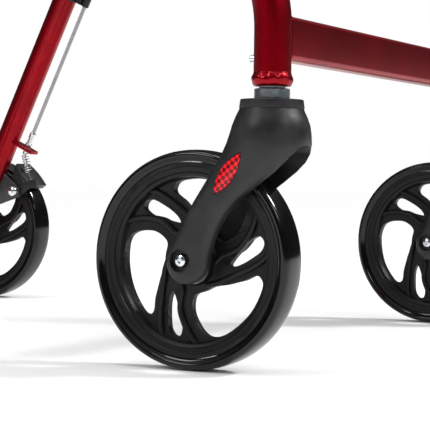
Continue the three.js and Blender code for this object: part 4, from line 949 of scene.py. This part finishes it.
def handle(hand, side):
    x = side * HALF_TRACK
    body = f"handle_{hand}"
    hy, hz = lever_house(hand)
    mouth = spot(x, upright_at(MOUTH_Z), MOUTH_Z)
    bottom = mouth - UPRIGHT_AIM * 0.19
    corner = spot(x, upright_at(hz), hz)
    grip_y = hy + 22.3
    route = rounded_route([bottom, corner, spot(x, grip_y + 110, hz)], [0, 50, 0])
    tube_piece = keep(f"handle_bar_{hand}", tube(route, 12.7, sides=11), ALLOY, body, f"handle_tube_{hand}",
                      slot="anodised")
    # Row of height holes on the outer side of the shaft.
    for k in range(HEIGHT_HOLES):
        hole = spot(x, upright_at(838), 838) + UPRIGHT_AIM * (12 * k * MM)
        inside, outside = hole + Vector((side * 9 * MM, 0, 0)), hole + Vector((side * 15 * MM, 0, 0))
        drill(tube_piece, inside, outside, 3, steps=20)
    sleeve = spun([(13.0, -9), (15.9, -9), (16.8, -8), (16.8, 0), (15.6, 2.2), (13.0, 2.2)], UPRIGHT_AIM,
                  mouth, 56)
    keep(f"top_sleeve_{hand}", sleeve, SMALL_PLASTIC, "front_frame", slot="black_plastic")
    # Grip with shallow rings between a flange and a rounded end.
    outer = [(18.5, 0), (18.5, 4), (17.6, 6), (15.6, 9)]
    rings = 22
    for k in range(rings):
        t = k / rings
        swell = 15.3 + 1.2 * math.sin(math.pi * (0.1 + 0.8 * t)) + (0.8 if t > 0.9 else 0)
        y = 10 + 98 * t
        outer += [(swell, y), (swell, y + 2.6), (swell - 0.6, y + 3.2), (swell - 0.6, y + 4.0)]
    outer += [(17, GRIP_LENGTH - 4), (15.6, GRIP_LENGTH - 1), (13, GRIP_LENGTH), (0, GRIP_LENGTH)]
    profile = [(13.05, 0)] + outer
    profile += [(0, 110.5), (13.05, 110.5)]
    grip = spun(profile, (0, 1, 0), spot(x, grip_y, hz), 56)
    keep(f"hand_grip_{hand}", grip, GRIP_RUBBER, body, f"grip_{hand}", slot="grip_rubber")
    # Lever housing clamped round the bar.
    outline = [(hy, hz - 32), (hy + 3, hz - 36), (hy + 18, hz - 38), (hy + 21, hz - 34), (hy + 22, hz + 10),
               (hy + 19, hz + 17), (hy + 4, hz + 18), (hy, hz + 12)]
    block = extruded([(STEM_Y + y * MM, z * MM) for y, z in outline], x - 15 * MM, x + 15 * MM, bevel=3.0,
                     segments=4)
    housing = keep(f"brake_housing_{hand}", block, SMALL_PLASTIC, body, f"lever_housing_{hand}",
                   slot="black_plastic")
    drill(housing, spot(x, hy - 20, hz), spot(x, hy + 40, hz), 13.0)
    slot_cut = bmesh.new()
    cube = bmesh.ops.create_cube(slot_cut, size=1)["verts"]
    bmesh.ops.scale(slot_cut, verts=cube, vec=(17 * MM, 60 * MM, 34 * MM))
    bmesh.ops.translate(slot_cut, verts=cube, vec=spot(x, hy + 12, hz - 34))
    carve(housing, slot_cut)
    ease(housing, 0.6, 2)
    screws = rod(spot(x - 15.3 * MM, hy + 9, hz - 27), spot(x + 15.3 * MM, hy + 9, hz - 27), 3)
    keep(f"lever_pin_{hand}", screws, BOLT_ZINC, body, slot="zinc")
    # Lever blade: a bent strip with a rolled, thicker finger edge.
    drop = hz - 48
    end = grip_y + GRIP_LENGTH - 14
    py, pz = hy + 9, hz - 27
    top_line = [(py - 6, pz + 4), (py + 6, pz + 5), (py + 13, drop + 12), (py + 22, drop + 5.5),
                (py + 40, drop + 4),
                (end - 30, drop + 3), (end - 8, drop + 4), (end, drop + 6)]
    under = [(end + 2, drop + 2), (end - 8, drop - 3), (end - 30, drop - 5), (py + 36, drop - 5),
             (py + 18, drop - 4),
             (py + 6, drop - 1), (py - 3, pz - 10), (py - 6, pz - 5)]
    loop = smooth_loop([Vector((0, STEM_Y + y * MM, z * MM)) for y, z in top_line + under], 4)
    blade = extruded([(p.y, p.z) for p in loop], x - 7.5 * MM, x + 7.5 * MM, bevel=2.2, segments=4)
    lever = keep(f"lever_blade_{hand}", blade, SMALL_PLASTIC, f"lever_{hand}", f"brake_lever_{hand}",
                 slot="black_plastic")
    drill(lever, spot(x - 12 * MM, py, pz), spot(x + 12 * MM, py, pz), 3.1)


# ---------------------------------------------------------------- seat, back rest, bag
def cross_tubes():
    for name, body, reach in (("seat_crossbar", "front_frame", HALF_TRACK - 13 * MM),
                              ("rear_crossbar", "rear_frame", LEG_X - 12 * MM)):
        c = middle(name)
        bar = rod(Vector((-reach, c.y, c.z)), Vector((reach, c.y, c.z)), 11, steps=48)
        keep(f"{name}_tube", bar, RED, body, name, slot="red_paint")


def soft_block(lo, hi, cuts, shrink):
    """A subdivided block in the given box, pulled in a little so that it can swell."""
    bm = bmesh.new()
    verts = bmesh.ops.create_cube(bm, size=1)["verts"]
    size = (hi - lo) - Vector((2, 2, 2)) * shrink * MM
    bmesh.ops.scale(bm, verts=verts, vec=size)
    bmesh.ops.translate(bm, verts=verts, vec=(lo + hi) / 2)
    bmesh.ops.bevel(bm, geom=list(bm.edges), offset=min(size) * 0.3, segments=4, profile=0.5, affect="EDGES",
                    material=-1)
    bmesh.ops.subdivide_edges(bm, edges=[e for e in bm.edges if e.calc_length() > 0.02], cuts=cuts,
                              use_grid_fill=True)
    return bm


def puff(obj, cap, pressure=4.0):
    """Swells a pad with cloth pressure, and caps how far any point moves."""
    mesh = obj.data
    before = [v.co.copy() for v in mesh.vertices]
    cloth = obj.modifiers.new("cloth", "CLOTH")
    settings = cloth.settings
    settings.use_pressure = True
    settings.uniform_pressure_force = pressure
    settings.effector_weights.gravity = 0
    settings.quality = 5
    scene = bpy.context.scene
    scene.frame_start, scene.frame_end = 1, 20
    for number in range(1, 21):
        scene.frame_set(number)
    graph = bpy.context.evaluated_depsgraph_get()
    after = obj.evaluated_get(graph).to_mesh()
    moved = [v.co.copy() for v in after.vertices]
    obj.modifiers.clear()
    scene.frame_set(1)
    for vert, start, end in zip(mesh.vertices, before, moved):
        step = end - start
        if step.length > cap * MM:
            step = step.normalized() * cap * MM
        vert.co = start + step


def remeshed(obj, size):
    cells = obj.modifiers.new("remesh", "REMESH")
    cells.mode = "VOXEL"
    cells.voxel_size = size * MM
    settle(obj)


def pad(name, node, body, seams, shrink, cap, axis="z"):
    lo, hi = low(node), high(node)
    piece = keep(name, soft_block(lo, hi, 3, shrink), VINYL, body, node, sharp=80, slot="seat_cover")
    remeshed(piece, 6)
    piece.data.materials.clear()
    piece.data.materials.append(VINYL)
    puff(piece, cap)
    groove(piece, seams)
    smooth = piece.modifiers.new("smooth", "SUBSURF")
    smooth.levels = smooth.render_levels = 1
    settle(piece)
    for vert in piece.data.vertices:
        for i in range(3):
            vert.co[i] = min(max(vert.co[i], lo[i] - 0.001),
                             hi[i] + (0.006 if i == 2 and axis == "z" else 0.002))
    for face in piece.data.polygons:
        face.use_smooth = True
    return piece


def groove(piece, seams):
    """Presses sewn channels into a pad: each seam is (axis, place, depth mm, half width mm, side axis)."""
    mesh = piece.data
    lo = Vector([min(v.co[i] for v in mesh.vertices) for i in range(3)])
    hi = Vector([max(v.co[i] for v in mesh.vertices) for i in range(3)])
    for axis, place, depth, half, press in seams:
        mid = (lo[press] + hi[press]) / 2
        for vert in mesh.vertices:
            away = abs(vert.co[axis] - place) / (half * MM)
            if away < 3:
                pull = depth * MM * math.exp(-away * away)
                reach = (vert.co[press] - mid) / ((hi[press] - lo[press]) / 2)
                if press == 2 and reach < 0:
                    continue
                vert.co[press] -= pull * reach


def seat():
    lo, hi = low("seat_pad"), high("seat_pad")
    depth = hi.y - lo.y
    seams = [(1, lo.y + depth * f, 6, 5, 2) for f in (0.25, 0.5, 0.75)]
    seams += [(0, lo.x + 0.03, 3, 4, 2), (0, hi.x - 0.03, 3, 4, 2)]
    pad("seat_cushion", "seat_pad", "seat", seams, 4, 6)
    # Piping round the cushion's lower edge.
    c, z = middle("seat_pad"), lo.z + 3 * MM
    hx, hy = (hi.x - lo.x) / 2 - 5 * MM, depth / 2 - 5 * MM
    corners = []
    for sx, sy, start in ((1, 1, 0), (-1, 1, 90), (-1, -1, 180), (1, -1, 270)):
        for k in range(7):
            a = math.radians(start + 15 * k)
            r = 18 * MM
            corners.append(Vector((c.x + sx * (hx - r) + r * math.cos(a),
                                   c.y + sy * (hy - r) + r * math.sin(a), z)))
    keep("seat_piping", tube(corners, 2.2, sides=4, cyclic=True), VINYL, "seat", slot="seat_cover")
    base_lo, base_hi = low("seat_base"), high("seat_base")
    top = base_hi.z
    plate = bmesh.new()
    cube = bmesh.ops.create_cube(plate, size=1)["verts"]
    bmesh.ops.scale(plate, verts=cube, vec=(base_hi.x - base_lo.x, base_hi.y - base_lo.y, 7 * MM))
    bmesh.ops.translate(plate, verts=cube,
                        vec=((base_lo.x + base_hi.x) / 2, (base_lo.y + base_hi.y) / 2, top - 3.5 * MM))
    upright_edges = [e for e in plate.edges if abs(e.verts[0].co.z - e.verts[1].co.z) > 1e-4]
    bmesh.ops.bevel(plate, geom=upright_edges, offset=16 * MM, segments=6, profile=0.5, affect="EDGES",
                    material=-1)
    board = keep("seat_board", plate, SMALL_PLASTIC, "seat", "seat_base", slot="black_plastic")
    ease(board, 1.5, 2)
    for side in (-1, 1):
        clip = extruded([(SEAT_HINGE.y + y * MM, SEAT_HINGE.z + z * MM) for y, z in
                         ((-14.5, 12), (-14.5, -8), (-9, -14.5), (9, -14.5), (14.5, -8), (14.5, 12))],
                        side * 0.162, side * 0.198, bevel=1.5)
        jaw = keep(f"seat_clip_{side + 1}", clip, SMALL_PLASTIC, "seat", "seat_base", slot="black_plastic")
        inner, outer = (Vector((side * across, SEAT_HINGE.y, SEAT_HINGE.z)) for across in (0.15, 0.21))
        drill(jaw, inner, outer, 11.1, steps=48)


def back_rest():
    hi = high("back_pad")
    reach = middle("back_pad")
    end_x = high("back_bar").x - 9 * MM
    bend = BACK_HINGE + Vector((0, -0.040, 0.007))
    straight = hi.x + 34 * MM
    corners = [Vector((-end_x, BACK_HINGE.y, BACK_HINGE.z)), Vector((-end_x, bend.y, bend.z)),
               Vector((-straight, reach.y, reach.z)), Vector((straight, reach.y, reach.z)),
               Vector((end_x, bend.y, bend.z)), Vector((end_x, BACK_HINGE.y, BACK_HINGE.z))]
    bar = tube(rounded_route(corners, [0, 40, 60, 60, 40, 0]), 9, sides=9)
    for side in (-1, 1):
        eye = side * end_x
        rod(Vector((eye - 0.009, BACK_HINGE.y, BACK_HINGE.z)),
            Vector((eye + 0.009, BACK_HINGE.y, BACK_HINGE.z)), 11,
            bar, chamfer=1.2)
    keep("back_bow", bar, BLACK_COAT, "backrest", "back_bar", slot="black_paint")
    seams = [(2, reach.z + off * MM, 3, 4, 1) for off in (-16, 16)]
    pad("back_cushion", "back_pad", "backrest", seams, 3, 5, axis="y")


def storage_bag():
    """Sewn bag hung from the front cross tube: soft sides that belly out, a hem and two loops."""
    lo, hi = low("storage_bag"), high("storage_bag")
    tall = 0.520
    front = SEAT_HINGE.y + 0.019
    bm = bmesh.new()
    cube = bmesh.ops.create_cube(bm, size=1)["verts"]
    size = Vector((hi.x - lo.x - 0.012, hi.y - front - 0.010, tall - lo.z - 0.006))
    bmesh.ops.scale(bm, verts=cube, vec=size)
    bmesh.ops.translate(bm, verts=cube, vec=(0, (front + hi.y) / 2, lo.z + 0.006 + size.z / 2))
    bmesh.ops.delete(bm, geom=[max(bm.faces, key=lambda f: f.calc_center_median().z)], context="FACES")
    low_edges = [e for e in bm.edges if len(e.link_faces) == 2]
    bmesh.ops.bevel(bm, geom=low_edges, offset=0.016, segments=4, profile=0.5, affect="EDGES", material=-1)
    bmesh.ops.subdivide_edges(bm, edges=list(bm.edges), cuts=5, use_grid_fill=True)
    centre = Vector((0, (front + hi.y) / 2, lo.z + size.z / 2))
    for vert in bm.verts:
        off = vert.co - centre
        u, v = off.x / (size.x / 2), off.z / (size.z / 2)
        w = off.y / (size.y / 2)
        belly = max(0, 1 - u * u) * max(0, 1 - v * v)
        wrinkle = noise.noise(vert.co * 22 + Vector((3, 1, 2))) * 0.004 * (1 - 0.6 * abs(v))
        if abs(w) > 0.9:
            vert.co.y += math.copysign(belly * 0.006 + wrinkle, off.y) * 0.8
        if abs(u) > 0.9:
            vert.co.x += math.copysign(max(0, 1 - v * v) * 0.004 + wrinkle * 0.6, off.x)
        if off.z < -0.9 * size.z / 2:
            vert.co.z += wrinkle * 0.5 - 0.002 * max(0, 1 - u * u)
        if v > 0.8:
            vert.co.z += noise.noise(vert.co * 12) * 0.003
    bag = keep("under_seat_bag", bm, WEAVE, "front_frame", "storage_bag", sharp=80, slot="bag_cloth")
    wall = bag.modifiers.new("wall", "SOLIDIFY")
    wall.thickness = 0.0016
    wall.offset = -1
    smooth = bag.modifiers.new("smooth", "SUBSURF")
    smooth.levels = smooth.render_levels = 1
    settle(bag)
    for face in bag.data.polygons:
        face.use_smooth = True
    # Hem round the mouth.
    c = centre
    hx, hy = size.x / 2 + 0.0005, size.y / 2 + 0.0005
    rim = []
    for sx, sy, start in ((1, 1, 0), (-1, 1, 90), (-1, -1, 180), (1, -1, 270)):
        for k in range(6):
            a = math.radians(start + 18 * k)
            r = 0.016
            rim.append(Vector((sx * (hx - r) + r * math.cos(a), c.y + sy * (hy - r) + r * math.sin(a),
                               tall - 0.004)))
    keep("bag_hem", tube(rim, 2.6, sides=4, cyclic=True), WEAVE, "front_frame", slot="bag_cloth")
    for side in (-1, 1):
        x = side * 0.0855
        loop = []
        for k in range(25):
            a = math.radians(-60 + 300 * k / 24)
            loop.append((SEAT_HINGE.y + 12.2 * MM * math.cos(a), SEAT_HINGE.z + 12.2 * MM * math.sin(a)))
        tail = (front + 0.001, tall - 0.022)
        path = [tail, *loop, (front + 0.003, tall - 0.02)]
        strip = bmesh.new()
        verts = [strip.verts.new((x - 0.014, y, z)) for y, z in path]
        edges = [strip.edges.new((a, b)) for a, b in zip(verts, verts[1:])]
        moved = bmesh.ops.extrude_edge_only(strip, edges=edges)
        bmesh.ops.translate(strip, verts=[v for v in moved["geom"] if isinstance(v, bmesh.types.BMVert)],
                            vec=(0.028, 0, 0))
        strap = keep(f"bag_loop_{side + 1}", strip, WEAVE, "front_frame", "storage_bag", sharp=80,
                     slot="bag_cloth")
        thick = strap.modifiers.new("thick", "SOLIDIFY")
        thick.thickness = 0.0014
        thick.offset = 0
        settle(strap)


# ---------------------------------------------------------------- assembly
for hand, side in HANDS.items():
    caster(hand, side)
    wheel("front", hand, f"front_wheel_{hand}")
    wheel("rear", hand, f"rear_wheel_{hand}")
    upright(hand, side)
    rear_leg(hand, side)
    cable_band(hand, side)
    brake_shoe(hand, side)
    cables(hand, side)
    handle(hand, side)

box_tube()
cross_tubes()
seat()
back_rest()
storage_bag()

for hand in HANDS:
    frame["nodes"][f"stem_bolt_{hand}"].data.materials.clear()
    frame["nodes"][f"stem_bolt_{hand}"].data.materials.append(ZINC)


# ---------------------------------------------------------------- room and light
def studio():
    floor_bm = bmesh.new()
    bmesh.ops.create_grid(floor_bm, x_segments=8, y_segments=8, size=30)
    mesh = bpy.data.meshes.new("floor")
    floor_bm.to_mesh(mesh)
    floor_bm.free()
    floor = bpy.data.objects.new("floor", mesh)
    bpy.context.collection.objects.link(floor)
    paper = node_finish("white_paper", (0.86, 0.86, 0.86), 0.95, tint=0.01, grain=90, bump=0.01, specular=0.1)
    mesh.materials.append(paper)
    world = bpy.data.worlds.new("sky")
    bpy.context.scene.world = world
    world.use_nodes = True
    tree = world.node_tree
    back = tree.nodes["Background"]
    path = tree.nodes.new("ShaderNodeLightPath")
    place = tree.nodes.new("ShaderNodeTexCoord")
    split = tree.nodes.new("ShaderNodeSeparateXYZ")
    tree.links.new(place.outputs["Generated"], split.inputs["Vector"])
    ramp = tree.nodes.new("ShaderNodeValToRGB")
    marks = ramp.color_ramp
    marks.elements[0].position, marks.elements[0].color = 0.0, (0.02, 0.02, 0.02, 1)
    marks.elements[1].position, marks.elements[1].color = 0.9, (0.5, 0.5, 0.52, 1)
    shade = marks.elements.new(0.35)
    shade.color = (0.03, 0.03, 0.032, 1)
    tree.links.new(split.outputs["Z"], ramp.inputs["Fac"])
    mirror = tree.nodes.new("ShaderNodeMix")
    mirror.data_type = "RGBA"
    mirror.inputs[6].default_value = (0.72, 0.72, 0.72, 1)
    tree.links.new(path.outputs["Is Glossy Ray"], mirror.inputs["Factor"])
    tree.links.new(ramp.outputs["Color"], mirror.inputs[7])
    seen = tree.nodes.new("ShaderNodeMix")
    seen.data_type = "RGBA"
    seen.inputs[7].default_value = (1, 1, 1, 1)
    tree.links.new(path.outputs["Is Camera Ray"], seen.inputs["Factor"])
    tree.links.new(mirror.outputs[2], seen.inputs[6])
    tree.links.new(seen.outputs[2], back.inputs["Color"])
    bpy.context.scene.view_settings.view_transform = "Standard"
    sun_data = bpy.data.lights.new("sun", "SUN")
    sun_data.energy = 2.1
    sun_data.angle = math.radians(9)
    sun = bpy.data.objects.new("sun", sun_data)
    bpy.context.collection.objects.link(sun)
    sun.rotation_euler = Vector((-0.62, 0.90, -1.05)).to_track_quat("-Z", "Y").to_euler()
    for name, place_at, aim, size, power in (
        ("left_box", (-2.2, 0.9, 1.7), (0, 0, 0.3), 0.7, 14),
        ("front_box", (-0.8, -2.6, 1.9), (0, 0, 0.3), 0.6, 10),
        ("top_box", (-0.4, 0.2, 2.6), (0, 0, 0.3), 1.2, 22),
    ):
        data = bpy.data.lights.new(name, "AREA")
        data.energy = power
        data.size = size
        lamp = bpy.data.objects.new(name, data)
        bpy.context.collection.objects.link(lamp)
        lamp.location = place_at
        lamp.rotation_euler = (Vector(aim) - Vector(place_at)).to_track_quat("-Z", "Y").to_euler()


studio()
